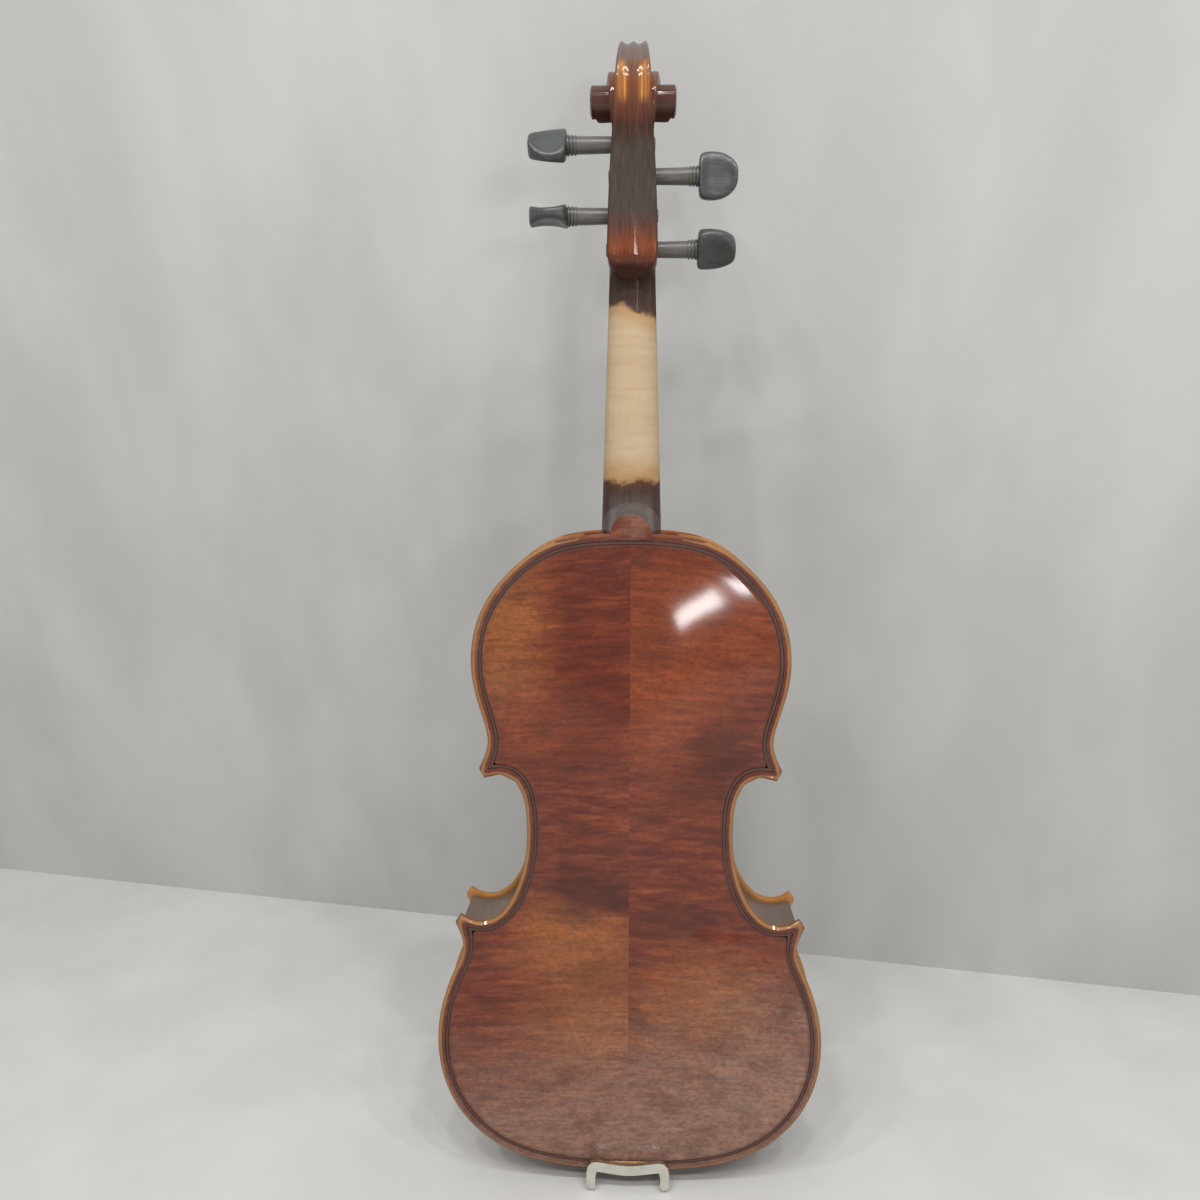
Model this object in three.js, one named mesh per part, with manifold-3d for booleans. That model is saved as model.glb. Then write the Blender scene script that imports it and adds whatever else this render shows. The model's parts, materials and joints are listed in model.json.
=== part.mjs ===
// Electro-acoustic violin standing upright, scroll up, back towards -Y, bass side towards +X.
// Lengths are millimetres and angles degrees. The pieces are laid out with z = 0 at the lower
// edge of the plates and y = 0 where the back is glued to the ribs. The whole violin is then
// moved so that its origin is the middle of the end button's outer face.

import * as THREE from 'three';
import { mergeVertices } from 'three/addons/utils/BufferGeometryUtils.js';
import Module from 'manifold-3d';

const wasm = await Module();
wasm.setup();

// Clearances
const fitGap = 0.3;
const glueGap = 0.45;
const overrun = 5;

// Body outline
const bodyLength = 356;
const lowerBoutWidth = 210;
const waistWidth = 109.4;
const upperBoutWidth = 166.6;
const cornerTipWidth = 6;
const lowerTipLean = 26;
const upperTipLean = -20;
// Places on the outline: across as a share of their bout's width, up as a share of the body
const outlineShares = {
  lowerShoulder: [0.3857, 0.0562],
  lowerBout: [0.5, 0.21208],
  lowerRecurve: [0.42571, 0.37135],
  lowerHook: [0.38, 0.40787],
  lowerCorner: [0.44048, 0.41152],
  waist: [0.5, 0.55337],
  upperHook: [0.41717, 0.64045],
  upperCorner: [0.47119, 0.64242],
  upperRecurve: [0.45018, 0.69298],
  upperBout: [0.5, 0.80899],
  upperShoulder: [0.36615, 0.94803],
};

// Body depth and wood thicknesses
const ribHeight = 31;
const ribThickness = 1.1;
const ribOverhang = 2.6;
const liningThickness = 2;
const liningHeight = 7;
const edgeThickness = 4.4;
const edgeRounding = 1.3;
const backArchHeight = 14.5;
const topArchHeight = 15.5;
const backThickness = 4.2;
const topThickness = 3.1;
const hollowEdgeThickness = 2.8;
const blendInset = 11;
const purflingInset = 4.1;
const purflingWidth = 1.3;
const purflingHeight = 1.5;
const grooveFloor = 2;
const channelInset = 7.6;
const channelHeight = 3.2;
const blendHeight = 3.7;
const buttonRadius = 10.6;
const backButtonDrop = 1;
const buttonRootInset = 3.2;

// Blocks, bass bar and sound post
const neckBlockWidth = 54;
const neckBlockDepth = 17;
const endBlockWidth = 48;
const endBlockDepth = 15;
const cornerBlockReach = 24;
const bassBarX = 17;
const bassBarLean = 1.2;
const bassBarBottomMargin = 58;
const bassBarTopMargin = 38;
const bassBarWidth = 5.5;
const bassBarHeight = 11;
const bassBarEndHeight = 3.5;
const soundPostDiameter = 6;
const soundPostX = -17.5;
const soundPostSetback = 7.5;

// Sound holes
const upperEyeX = 22.6;
const upperEyeRise = 35.5;
const upperEyeRadius = 3.1;
const lowerEyeX = 48.2;
const lowerEyeDrop = 20.2;
const lowerEyeRadius = 4.2;
const soundHoleWidth = 5.8;
const soundHoleRise = 41;
const soundHoleDrop = 27.4;

// Neck
const overstand = 6.5;
const neckAngle = 5.7;
const heelMortise = 6;
const heelRootWidth = 32;
const heelReach = 15;
const heelFootWidth = 20.6;
const heelFootReach = 9.4;
const neckRootThickness = 16.5;
const neckTipThickness = 13.6;
const neckRootLength = 24;
const neckLength = 130.5;
const fingerboardLength = 270;
const fingerboardTopWidth = 24;
const fingerboardEndWidth = 42;
const fingerboardEdge = 5.4;
const fingerboardRadius = 42;
const fingerboardHollow = 2.4;
const nutLength = 5.6;
const nutHeight = 0.9;

// Pegbox and scroll
const pegboxLead = 2.5;
const pegboxLength = 77;
const pegboxChinY = 15;
const pegboxBackY = -5.6;
const pegboxThroatY = 13.4;
const pegboxWidth = 25.4;
const pegboxThroatWidth = 18.4;
const pegboxWall = 4.1;
const pegboxFloor = 4.6;
const troughLead = 6.1;
const troughEndMargin = 4;
const scrollEyeY = 18;
const scrollEyeRise = 10;
const scrollRadius = 27.4;
const scrollWidth = 43;
const scrollFluteDepth = 1.4;
const scrollBevel = 1;

// Pegs
const pegShaftRadius = 4.3;
const pegTipRadius = 3.5;
const pegTipReach = 0.8;
const pegCollarX = 30;
const pegCollarLength = 3.4;
const pegHeadLength = 21.4;
const pegHeadWidth = 25;
const pegHeadThickness = 11;
// Each peg's place: up the pegbox and in from its back, both as shares, and its turn in degrees
const pegShares = [
  { name: 'g', side: 1, up: 0.19221, inward: 0.51567, turn: 35 },
  { name: 'e', side: -1, up: 0.4, inward: 0.54926, turn: 90 },
  { name: 'd', side: 1, up: 0.63506, inward: 0.58469, turn: 0 },
  { name: 'a', side: -1, up: 0.82338, inward: 0.61388, turn: 45 },
];

// Strings
const stringSpreadAtNut = 16.5;
const stringSpreadAtBridge = 33.6;
const windingTurns = 3;
const windingSteps = 12;
const windingPitch = 1.5;
const windingWallGap = 1.2;
const stringLift = 0.35;
const stringRadii = { g: 0.4, d: 0.4, a: 0.35, e: 0.25 };
const stringOrder = ['g', 'd', 'a', 'e'];

// Bridge
const bridgeShare = 0.45225;
const bridgeTopY = 79.4;
const bridgeFootSpan = 41.5;
const bridgeTopRadius = 42;
const bridgeFootThickness = 4.4;
const bridgeTopThickness = 1.6;
const bridgeSeat = 0.25;

// Saddle, tailpiece, tail gut and end button
const saddleWidth = 34;
const saddleLength = 7;
const saddleTopY = 43.5;
const tailpieceBottomZ = 9;
const afterLength = 55;
const tailpieceBottomWidth = 22;
const tailpieceTopWidth = 41;
const tailpieceBottomY = 44.6;
const tailpieceTopY = 61.6;
const tailpieceThickness = 4.2;
const tailpieceCrown = 3.6;
const tailGutRadius = 0.95;
const tailGutSpread = 8;
const tailGutHold = 12;
const buttonNeckRadius = 4.3;
const buttonHeadRadius = 6.8;
const buttonShankRadius = 3.5;
const buttonLength = 9.5;
const buttonHeadLength = 4.9;
const buttonShankLength = 17;
const buttonY = 15.5;

// Fine tuners
const tunerReach = 8.5;
const tunerTravel = 1;
const tunerShankRadius = 1.4;
const tunerKnobRadius = 3.3;
const tunerKnobHeight = 4.2;
const leverWidth = 4.2;
const leverThickness = 1.3;
const leverLength = 12;
const leverGap = 1.6;
const pivotRadius = 0.9;
const pivotDrop = 2.9;
const pivotSetback = 4.5;
const pivotBossRadius = 2.1;
const lugThickness = 1.7;

// Chin rest and clamp
const cupX = 55.5;
const cupZ = 43;
const cupLength = 78;
const cupWidth = 66;
const cupTopY = 61;
const cupBottomY = 48.5;
const cupDishDepth = 5.4;
const armY = 57.2;
const armHeight = 4.8;
const armZ = 15.5;
const armWidth = 18;
const armEndX = 31;
const legX = 24.5;
const legZ = 6.2;
const legSize = 9.4;
const corkThickness = 1.5;
const clampX = 20;
const clampZ = -5.4;
const barrelRadius = 3.3;
const barrelLength = 17;
const barrelY = 18;
const clampRodRadius = 1.6;
const clampRodHold = 5;
const bracketY = 41;
const bracketThickness = 2;
const bracketWidth = 5;
const footThickness = 2.5;
const footBarHeight = 5.8;
const footBarZ = 3.7;
const footBarBow = 2.4;
const footSpan = 45.6;
const footArmWidth = 4.8;

// Pickup and output socket
const pickupRadius = 8;
const pickupThickness = 0.9;
const pickupSetback = 14;
const socketRise = 0.5;
const socketNutRadius = 7.2;
const socketNutThickness = 1.9;
const socketBarrelRadius = 5.6;
const socketBarrelLength = 19;
const socketBoreRadius = 3.25;

// Places along the length that follow from these sizes
const backButtonZ = bodyLength - backButtonDrop;
const neckRootZ = bodyLength + neckRootLength;
const nutZ = bodyLength + neckLength;
const pegboxStartZ = nutZ - pegboxLead;
const pegboxEndZ = pegboxStartZ + pegboxLength;
const troughStartZ = nutZ + troughLead;
const troughEndZ = pegboxEndZ - troughEndMargin;
const scrollEyeZ = pegboxEndZ + scrollEyeRise;
const bridgeZ = bodyLength * bridgeShare;
const tailpieceTopZ = bridgeZ - afterLength;
const pivotZ = tailpieceTopZ - pivotSetback;
const soundPostZ = bridgeZ - soundPostSetback;
const pickupZ = bridgeZ - pickupSetback;
const upperEyeZ = bridgeZ + upperEyeRise;
const lowerEyeZ = bridgeZ - lowerEyeDrop;
const soundHoleTopZ = bridgeZ + soundHoleRise;
const soundHoleBottomZ = bridgeZ - soundHoleDrop;
const bassBarTopZ = bodyLength - bassBarTopMargin;
const socketZ = bodyLength * outlineShares.lowerBout[1] + socketRise;

// Finishes
const maple = new THREE.MeshStandardMaterial({ color: '#7d4029', roughness: 0.35, metalness: 0 });
const spruce = new THREE.MeshStandardMaterial({ color: '#a4612e', roughness: 0.4, metalness: 0 });
const paleWood = new THREE.MeshStandardMaterial({ color: '#cdaf8c', roughness: 0.6, metalness: 0 });
const ebony = new THREE.MeshStandardMaterial({ color: '#2c2b2d', roughness: 0.4, metalness: 0 });
const dyedWood = new THREE.MeshStandardMaterial({ color: '#241c18', roughness: 0.6, metalness: 0 });
const cork = new THREE.MeshStandardMaterial({ color: '#b08a5c', roughness: 0.9, metalness: 0 });
const nickel = new THREE.MeshStandardMaterial({ color: '#b9babb', roughness: 0.3, metalness: 1 });
const steel = new THREE.MeshStandardMaterial({ color: '#9a9a9c', roughness: 0.35, metalness: 1 });
const nylon = new THREE.MeshStandardMaterial({ color: '#202022', roughness: 0.5, metalness: 0 });

const violin = new THREE.Group();
const half = (value) => value / 2;
const blend = (from, to, share) => from + (to - from) * share;
const radians = (angle) => THREE.MathUtils.degToRad(angle);
const at = (x, y, z) => new THREE.Vector3(x, y, z);
const flat = (x, z) => new THREE.Vector2(x, z);

// A closed body from points and triangles, without the triangles that have lost their area
function body(points, faces) {
  const geometry = new THREE.BufferGeometry();
  geometry.setAttribute('position', new THREE.Float32BufferAttribute(
    points.flatMap((point) => point.toArray()), 3));
  geometry.setIndex(faces.flat());
  return tidy(geometry);
}

// Merges equal points, drops collapsed triangles and turns the faces outwards
function tidy(geometry) {
  geometry.deleteAttribute('normal');
  geometry.deleteAttribute('uv');
  const merged = mergeVertices(geometry);
  const index = merged.index.array;
  const kept = [];
  let volume = 0;
  const [a, b, c] = [at(0, 0, 0), at(0, 0, 0), at(0, 0, 0)];
  for (let i = 0; i < index.length; i += 3) {
    const [p, q, r] = [index[i], index[i + 1], index[i + 2]];
    if (p === q || q === r || r === p) continue;
    kept.push(p, q, r);
    a.fromBufferAttribute(merged.attributes.position, p);
    b.fromBufferAttribute(merged.attributes.position, q);
    c.fromBufferAttribute(merged.attributes.position, r);
    volume += a.dot(b.cross(c));
  }
  merged.setIndex(volume < 0 ? kept.reverse() : kept);
  return merged;
}

const solid = (geometry) => {
  const clean = tidy(geometry);
  return new wasm.Manifold(new wasm.Mesh({
    numProp: 3,
    vertProperties: clean.attributes.position.array,
    triVerts: Uint32Array.from(clean.index.array),
  }));
};

const shapeOf = (manifold) => {
  const mesh = manifold.getMesh();
  const geometry = new THREE.BufferGeometry();
  geometry.setAttribute('position', new THREE.BufferAttribute(mesh.vertProperties, 3));
  geometry.setIndex(new THREE.BufferAttribute(mesh.triVerts, 1));
  return geometry;
};

const joined = (first, ...rest) => shapeOf(rest.reduce((sum, next) => sum.add(solid(next)), solid(first)));
const cut = (first, ...rest) => shapeOf(rest.reduce((sum, next) => sum.subtract(solid(next)), solid(first)));

// Triangles that close a flat loop of points
function capFaces(loop, offset) {
  const normal = at(0, 0, 0);
  loop.forEach((point, i) => {
    const next = loop[(i + 1) % loop.length];
    normal.add(point.clone().cross(next));
  });
  normal.normalize();
  const aside = Math.abs(normal.z) < Math.SQRT1_2 ? at(0, 0, 1) : at(1, 0, 0);
  const u = aside.clone().cross(normal).normalize();
  const v = normal.clone().cross(u);
  const contour = loop.map((point) => flat(point.dot(u), point.dot(v)));
  return THREE.ShapeUtils.triangulateShape(contour, [])
    .map((face) => face.map((i) => offset + i));
}

// A skin over loops of points, closed by flat ends or back on itself
function skin(loops, ring = false) {
  const count = loops[0].length;
  const faces = [];
  const rows = ring ? loops.length : loops.length - 1;
  for (let row = 0; row < rows; row++) {
    const low = row * count;
    const high = ((row + 1) % loops.length) * count;
    for (let i = 0; i < count; i++) {
      const j = (i + 1) % count;
      faces.push([low + i, low + j, high + j], [low + i, high + j, high + i]);
    }
  }
  if (!ring) {
    const end = (loops.length - 1) * count;
    capFaces(loops[0], 0).forEach((face) => faces.push([...face].reverse()));
    capFaces(loops[loops.length - 1], end).forEach((face) => faces.push(face));
  }
  return body(loops.flat(), faces);
}

function add(name, geometry, material) {
  const mesh = new THREE.Mesh(geometry, material);
  mesh.name = name;
  violin.add(mesh);
  return mesh;
}

// A flat outline in x and z, standing from y = low to y = high
const slab = (points, low, high) => {
  const geometry = new THREE.ExtrudeGeometry(new THREE.Shape(points), {
    depth: high - low, bevelEnabled: false,
  });
  geometry.rotateX(Math.PI / 2);
  geometry.translate(0, high, 0);
  return geometry;
};

const box = (x0, x1, y0, y1, z0, z1) => new THREE.BoxGeometry(x1 - x0, y1 - y0, z1 - z0)
  .translate(half(x0 + x1), half(y0 + y1), half(z0 + z1));

const circle = (radius, count, x = 0, z = 0) => Array.from({ length: count }, (_, i) => {
  const angle = (2 * Math.PI * i) / count;
  return flat(x + radius * Math.cos(angle), z + radius * Math.sin(angle));
});

// A turned piece from [radius, height] pairs, standing along Y
const turned = (profile, segments) => new THREE.LatheGeometry(
  profile.map(([radius, height]) => flat(radius, height)), segments);


// Outline of the bass half, in three bouts from the bottom centre up to the top centre
const lowerHalf = half(lowerBoutWidth);
const upperHalf = half(upperBoutWidth);
const toward = (angle, length) => flat(length * Math.cos(radians(angle)), length * Math.sin(radians(angle)));
const from = (point, angle, length) => point.clone().add(toward(angle, length));
const tipAngle = (lean) => lean + 90;
const outlinePlace = (name, width) => flat(
  outlineShares[name][0] * width, outlineShares[name][1] * bodyLength);
const lowerTip = outlinePlace('lowerCorner', lowerBoutWidth);
const upperTip = outlinePlace('upperCorner', upperBoutWidth);
const lowerTipStart = from(lowerTip, tipAngle(lowerTipLean), -half(cornerTipWidth));
const lowerTipEnd = from(lowerTip, tipAngle(lowerTipLean), half(cornerTipWidth));
const upperTipStart = from(upperTip, tipAngle(upperTipLean), -half(cornerTipWidth));
const upperTipEnd = from(upperTip, tipAngle(upperTipLean), half(cornerTipWidth));

function pathOf(...curves) {
  const path = new THREE.CurvePath();
  curves.forEach((points) => path.add(new THREE.CubicBezierCurve(...points)));
  return path;
}

function lowerBout() {
  const bottom = flat(0, 0);
  const shoulder = outlinePlace('lowerShoulder', lowerBoutWidth);
  const widest = outlinePlace('lowerBout', lowerBoutWidth);
  const recurve = outlinePlace('lowerRecurve', lowerBoutWidth);
  const rise = recurve.y - widest.y;
  const hook = lowerTipStart.y - recurve.y;
  const slope = 41.6;
  const recurveSlope = 106;
  return pathOf(
    [bottom, flat(lowerHalf * 0.412, 0), from(shoulder, slope, -lowerHalf * 0.189), shoulder],
    [shoulder, from(shoulder, slope, lowerHalf * 0.157), from(widest, 90, -widest.y * 0.37), widest],
    [widest, from(widest, 90, rise * 0.45), from(recurve, recurveSlope, -rise * 0.25), recurve],
    [recurve, from(recurve, recurveSlope, hook * 0.3), from(lowerTipStart, 46, -hook * 0.4), lowerTipStart],
  );
}

function middleBout() {
  const low = outlinePlace('lowerHook', lowerBoutWidth);
  const waist = outlinePlace('waist', waistWidth);
  const high = outlinePlace('upperHook', upperBoutWidth);
  const lowTip = lowerTipEnd.x - low.x;
  const highTip = upperTipStart.x - high.x;
  return pathOf(
    [lowerTipEnd, from(lowerTipEnd, 230, lowTip * 0.35), from(low, 0, lowTip * 0.5), low],
    [low, from(low, 180, (low.x - waist.x) * 0.52), from(waist, 270, (waist.y - low.y) * 0.56), waist],
    [waist, from(waist, 90, (high.y - waist.y) * 0.61), from(high, 180, (high.x - waist.x) * 0.76), high],
    [high, from(high, 0, highTip * 0.4), from(upperTipStart, 160, highTip * 0.35), upperTipStart],
  );
}

function upperBout() {
  const recurve = outlinePlace('upperRecurve', upperBoutWidth);
  const widest = outlinePlace('upperBout', upperBoutWidth);
  const shoulder = outlinePlace('upperShoulder', upperBoutWidth);
  const top = flat(0, bodyLength);
  const hook = recurve.y - upperTipEnd.y;
  const rise = widest.y - recurve.y;
  const slope = 138;
  const recurveSlope = 81;
  return pathOf(
    [upperTipEnd, from(upperTipEnd, 123, hook * 0.5), from(recurve, recurveSlope, -hook * 0.2), recurve],
    [recurve, from(recurve, recurveSlope, rise * 0.4), from(widest, 90, -rise * 0.4), widest],
    [widest, from(widest, 90, upperHalf * 0.22), from(shoulder, slope, -upperHalf * 0.26), shoulder],
    [shoulder, from(shoulder, slope, upperHalf * 0.19), flat(upperHalf * 0.49, bodyLength), top],
  );
}

const boutPaths = [lowerBout(), middleBout(), upperBout()];
const boutSteps = [15, 13, 13];
const denseSteps = 140;
const denseBouts = boutPaths.map((path) => path.getSpacedPoints(denseSteps));
const tipLines = [[lowerTipStart, lowerTipEnd], [upperTipStart, upperTipEnd]];

function distanceTo(point, line) {
  let nearest = Infinity;
  for (let i = 1; i < line.length; i++) {
    const span = line[i].clone().sub(line[i - 1]);
    const share = THREE.MathUtils.clamp(point.clone().sub(line[i - 1]).dot(span) / span.lengthSq(), 0, 1);
    nearest = Math.min(nearest, point.distanceTo(line[i - 1].clone().addScaledVector(span, share)));
  }
  return nearest;
}

// One bout moved inwards, ended where it meets the moved corner tips and its neighbours
function insetBout(bout, inset) {
  const line = denseBouts[bout].map((point, i) => {
    const tangent = boutPaths[bout].getTangent(i / denseSteps);
    return flat(point.x - tangent.y * inset, point.y + tangent.x * inset);
  });
  const others = [...tipLines, ...denseBouts.filter((other, i) => Math.abs(i - bout) === 1)];
  const margin = 1e-4;
  const clear = (point) => others.every((other) => distanceTo(point, other) > inset - margin);
  const endAt = (outside, inside) => {
    let [low, high] = [0, 1];
    for (let i = 0; i < 20; i++) {
      const middle = half(low + high);
      if (clear(outside.clone().lerp(inside, middle))) high = middle;
      else low = middle;
    }
    return outside.clone().lerp(inside, high);
  };
  const first = line.findIndex(clear);
  const last = line.length - 1 - [...line].reverse().findIndex(clear);
  const kept = line.slice(first, last + 1);
  if (first > 0) kept.unshift(endAt(line[first - 1], line[first]));
  if (last < line.length - 1) kept.push(endAt(line[last + 1], line[last]));
  if (bout === 0) kept[0].x = 0;
  if (bout === 2) kept[kept.length - 1].x = 0;
  return kept;
}

const insetLines = new Map();
function insetLine(bout, inset) {
  const key = `${bout}:${inset}`;
  if (!insetLines.has(key)) {
    const points = insetBout(bout, inset);
    const lengths = [0];
    points.slice(1).forEach((point, i) => lengths.push(lengths[i] + point.distanceTo(points[i])));
    insetLines.set(key, { points, lengths });
  }
  return insetLines.get(key);
}

// A point on an inset bout, by its share of the way along it
function boutPoint(bout, inset, share) {
  const { points, lengths } = insetLine(bout, inset);
  const length = share * lengths[lengths.length - 1];
  const i = Math.max(1, lengths.findIndex((value) => value >= length - Number.EPSILON * bodyLength));
  const part = THREE.MathUtils.clamp((length - lengths[i - 1]) / (lengths[i] - lengths[i - 1]), 0, 1);
  return points[i - 1].clone().lerp(points[i], part);
}

const halfRings = new Map();
function halfRing(inset) {
  if (!halfRings.has(inset)) {
    const ring = boutSteps.flatMap((steps, bout) => (
      Array.from({ length: steps + 1 }, (_, i) => boutPoint(bout, inset, i / steps))));
    const closeEnough = fitGap / 3;
    ring.forEach((point, i) => {
      const next = ring[i + 1];
      if (next && point.distanceTo(next) < closeEnough) next.copy(point);
    });
    halfRings.set(inset, ring);
  }
  return halfRings.get(inset);
}

// The whole outline at an inset, once round
const wholeRing = (inset) => {
  const right = halfRing(inset);
  const left = right.slice(1, -1).reverse().map((point) => flat(-point.x, point.y));
  return [...right, ...left];
};

// The arched plates
const lastRow = halfRing(0).length - 1;
const cornerRows = [boutSteps[0], boutSteps[0] + boutSteps[1] + 1];
const archStart = halfRing(blendInset);
const archBottomZ = archStart[0].y;
const archTopZ = archStart[lastRow].y;
const centreRows = archStart.map((point, row) => {
  const bottomCorner = archStart[cornerRows[0]].y;
  const topCorner = archStart[cornerRows[1] + 1].y;
  if (row <= cornerRows[0]) return blend(archBottomZ, bottomCorner, row / cornerRows[0]);
  if (row <= cornerRows[1]) {
    return blend(bottomCorner, topCorner, (row - cornerRows[0]) / (cornerRows[1] - cornerRows[0]));
  }
  return blend(topCorner, archTopZ, (row - cornerRows[1]) / (lastRow - cornerRows[1]));
});
const longArch = (z) => {
  const share = THREE.MathUtils.clamp((z - archBottomZ) / (archTopZ - archBottomZ), 0, 1);
  return Math.sin(Math.PI * share) ** 0.6;
};
const crossArch = (share) => half(1 - Math.cos(Math.PI * share ** 0.85));
const outerColumnShares = [0.24, 0.48, 0.74, 1];
const innerColumnShares = [1, 0.6];
const hollowInset = ribOverhang + ribThickness + liningThickness;
const edgeLow = 0.32;
const edgeHigh = 0.7;

function plateHalf(side, outward, archHeight, thickness) {
  const rise = (row, share) => blend(
    blendHeight, archHeight, longArch(centreRows[row]) * crossArch(share));
  const wood = (row, share) => blend(
    hollowEdgeThickness, thickness, longArch(centreRows[row]) * crossArch(share));
  const place = (point, height) => at(side * point.x, outward > 0 ? ribHeight + height : -height, point.y);
  const onArch = (row, share) => archStart[row].clone().lerp(flat(0, centreRows[row]), share);
  const grooveOuter = purflingInset - fitGap;
  const grooveInner = purflingInset + purflingWidth + fitGap;
  const lip = blend(edgeThickness, channelHeight, 0.55);
  const innerLip = blend(edgeThickness, channelHeight, 0.8);
  const rim = [
    [hollowInset, 0], [edgeRounding * 0.8, 0], [0, edgeThickness * edgeLow], [0, edgeThickness * edgeHigh],
    [edgeRounding, edgeThickness], [grooveOuter, lip], [grooveOuter, grooveFloor],
    [grooveInner, grooveFloor], [grooveInner, innerLip], [channelInset, channelHeight],
    [blendInset, blendHeight],
  ];
  const loops = archStart.map((start, row) => [
    ...rim.map(([inset, height]) => place(halfRing(inset)[row], height)),
    ...outerColumnShares.map((share) => place(onArch(row, share), rise(row, share))),
    ...innerColumnShares.map((share) => place(onArch(row, share), rise(row, share) - wood(row, share))),
    place(start, blendHeight - hollowEdgeThickness),
  ]);
  return skin(loops);
}

// Heel of the neck, and the mortise that a gap round it makes
const gluePlane = (z) => (
  ribHeight + edgeThickness + overstand - (z - bodyLength) * Math.tan(radians(neckAngle)));
const heelRowShares = [
  [0, 0, 0], [0.22, 0.1, 0.03], [0.45, 0.35, 0.12], [0.68, 0.7, 0.34], [0.86, 0.92, 0.66], [1, 1, 1],
];
const heelArcSteps = 8;
function heel(gap) {
  const rootZ = bodyLength - heelMortise;
  const footEnd = bodyLength + heelFootReach;
  const topEnd = bodyLength + heelReach * 2;
  const loops = heelRowShares.map(([rise, widening, reaching]) => {
    const width = half(blend(heelFootWidth, heelRootWidth, widening)) + gap;
    const end = blend(footEnd, topEnd, reaching) + gap;
    const straight = blend(backButtonZ, bodyLength, rise);
    const height = (z) => (rise < 1 ? rise * gluePlane(topEnd) : gluePlane(z));
    const arc = Array.from({ length: heelArcSteps + 1 }, (_, i) => {
      const angle = (Math.PI * i) / heelArcSteps;
      const z = straight + (end - straight) * Math.sin(angle);
      return at(width * Math.cos(angle), height(z), z);
    });
    return [at(width, height(rootZ), rootZ - gap), ...arc, at(-width, height(rootZ), rootZ - gap)];
  });
  return skin(loops);
}

// Back of two book-matched halves, each with its half of the button
const buttonArc = circle(buttonRadius, 24).filter((point) => point.x > -fitGap && point.y > -fitGap);
const buttonHalf = (side) => slab([
  flat(0, bodyLength - buttonRootInset), flat(side * buttonRadius, bodyLength - buttonRootInset),
  ...buttonArc.slice(0, -1).map((point) => flat(side * point.x, backButtonZ + point.y)),
  flat(0, backButtonZ + buttonRadius),
], -edgeThickness, 0);
const sides = [['bass', 1], ['treble', -1]];
const backs = {};
for (const [name, side] of sides) {
  const plate = plateHalf(side, -1, backArchHeight, backThickness);
  backs[name] = add(`back_${name}`, joined(plate, buttonHalf(side)), maple);
}

// Sound hole of one side, as a stem along a curve and an eye at each end
const stemShares = [
  [0.04, 0.93, 0.2], [0.24, 1, 0.32], [0.39, 0.93, 0.72], [0.44, 0.76, 0.96], [0.5, 0.5, 1],
  [0.57, 0.24, 0.96], [0.65, 0.07, 0.72], [0.8, 0, 0.32], [0.97, 0.08, 0.2],
];
function soundHole(side) {
  const span = lowerEyeX - upperEyeX;
  const height = soundHoleTopZ - soundHoleBottomZ;
  const line = new THREE.SplineCurve(stemShares.map(([across, up]) => flat(
    upperEyeX + across * span, soundHoleBottomZ + up * height)));
  const widths = new THREE.SplineCurve(stemShares.map(([, , width], i) => (
    flat(i, width * half(soundHoleWidth)))));
  const steps = 20;
  const edge = (sign) => Array.from({ length: steps + 1 }, (_, i) => {
    const tangent = line.getTangent(i / steps);
    const width = sign * widths.getPoint(i / steps).y;
    const point = line.getPoint(i / steps);
    return flat(side * (point.x - tangent.y * width), point.y + tangent.x * width);
  });
  const stem = [...edge(1), ...edge(-1).reverse()];
  const low = ribHeight - overrun;
  const high = ribHeight + topArchHeight + overrun;
  return [
    slab(stem, low, high),
    slab(circle(upperEyeRadius, 14, side * upperEyeX, upperEyeZ), low, high),
    slab(circle(lowerEyeRadius, 14, side * lowerEyeX, lowerEyeZ), low, high),
  ];
}

const saddleNotch = () => box(
  -half(saddleWidth) - fitGap, half(saddleWidth) + fitGap, ribHeight - overrun, ribHeight + overrun * 3,
  -overrun, saddleLength + fitGap);
const tops = {};
for (const [name, side] of sides) {
  const plate = plateHalf(side, 1, topArchHeight, topThickness);
  tops[name] = add(`top_${name}`, cut(plate, heel(fitGap), saddleNotch(), ...soundHole(side)), spruce);
}

// Purfling, laid in the grooves
const purflingSection = (outer, inner, outward) => {
  const height = (value) => (outward > 0 ? ribHeight + value : -value);
  const floor = grooveFloor;
  const top = grooveFloor + purflingHeight;
  return [
    at(outer.x, height(floor), outer.y), at(outer.x, height(top), outer.y),
    at(inner.x, height(top), inner.y), at(inner.x, height(floor), inner.y),
  ];
};
const innerPurfling = wholeRing(purflingInset + purflingWidth);
add('purfling_back', skin(wholeRing(purflingInset).map((point, i) => (
  purflingSection(point, innerPurfling[i], -1))), true), dyedWood);
for (const [name, side] of sides) {
  const inner = halfRing(purflingInset + purflingWidth);
  const mirror = (point) => flat(side * point.x, point.y);
  const strip = skin(halfRing(purflingInset).map((point, i) => (
    purflingSection(mirror(point), mirror(inner[i]), 1))));
  add(`purfling_top_${name}`, cut(strip, heel(fitGap), saddleNotch()), dyedWood);
}

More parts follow.
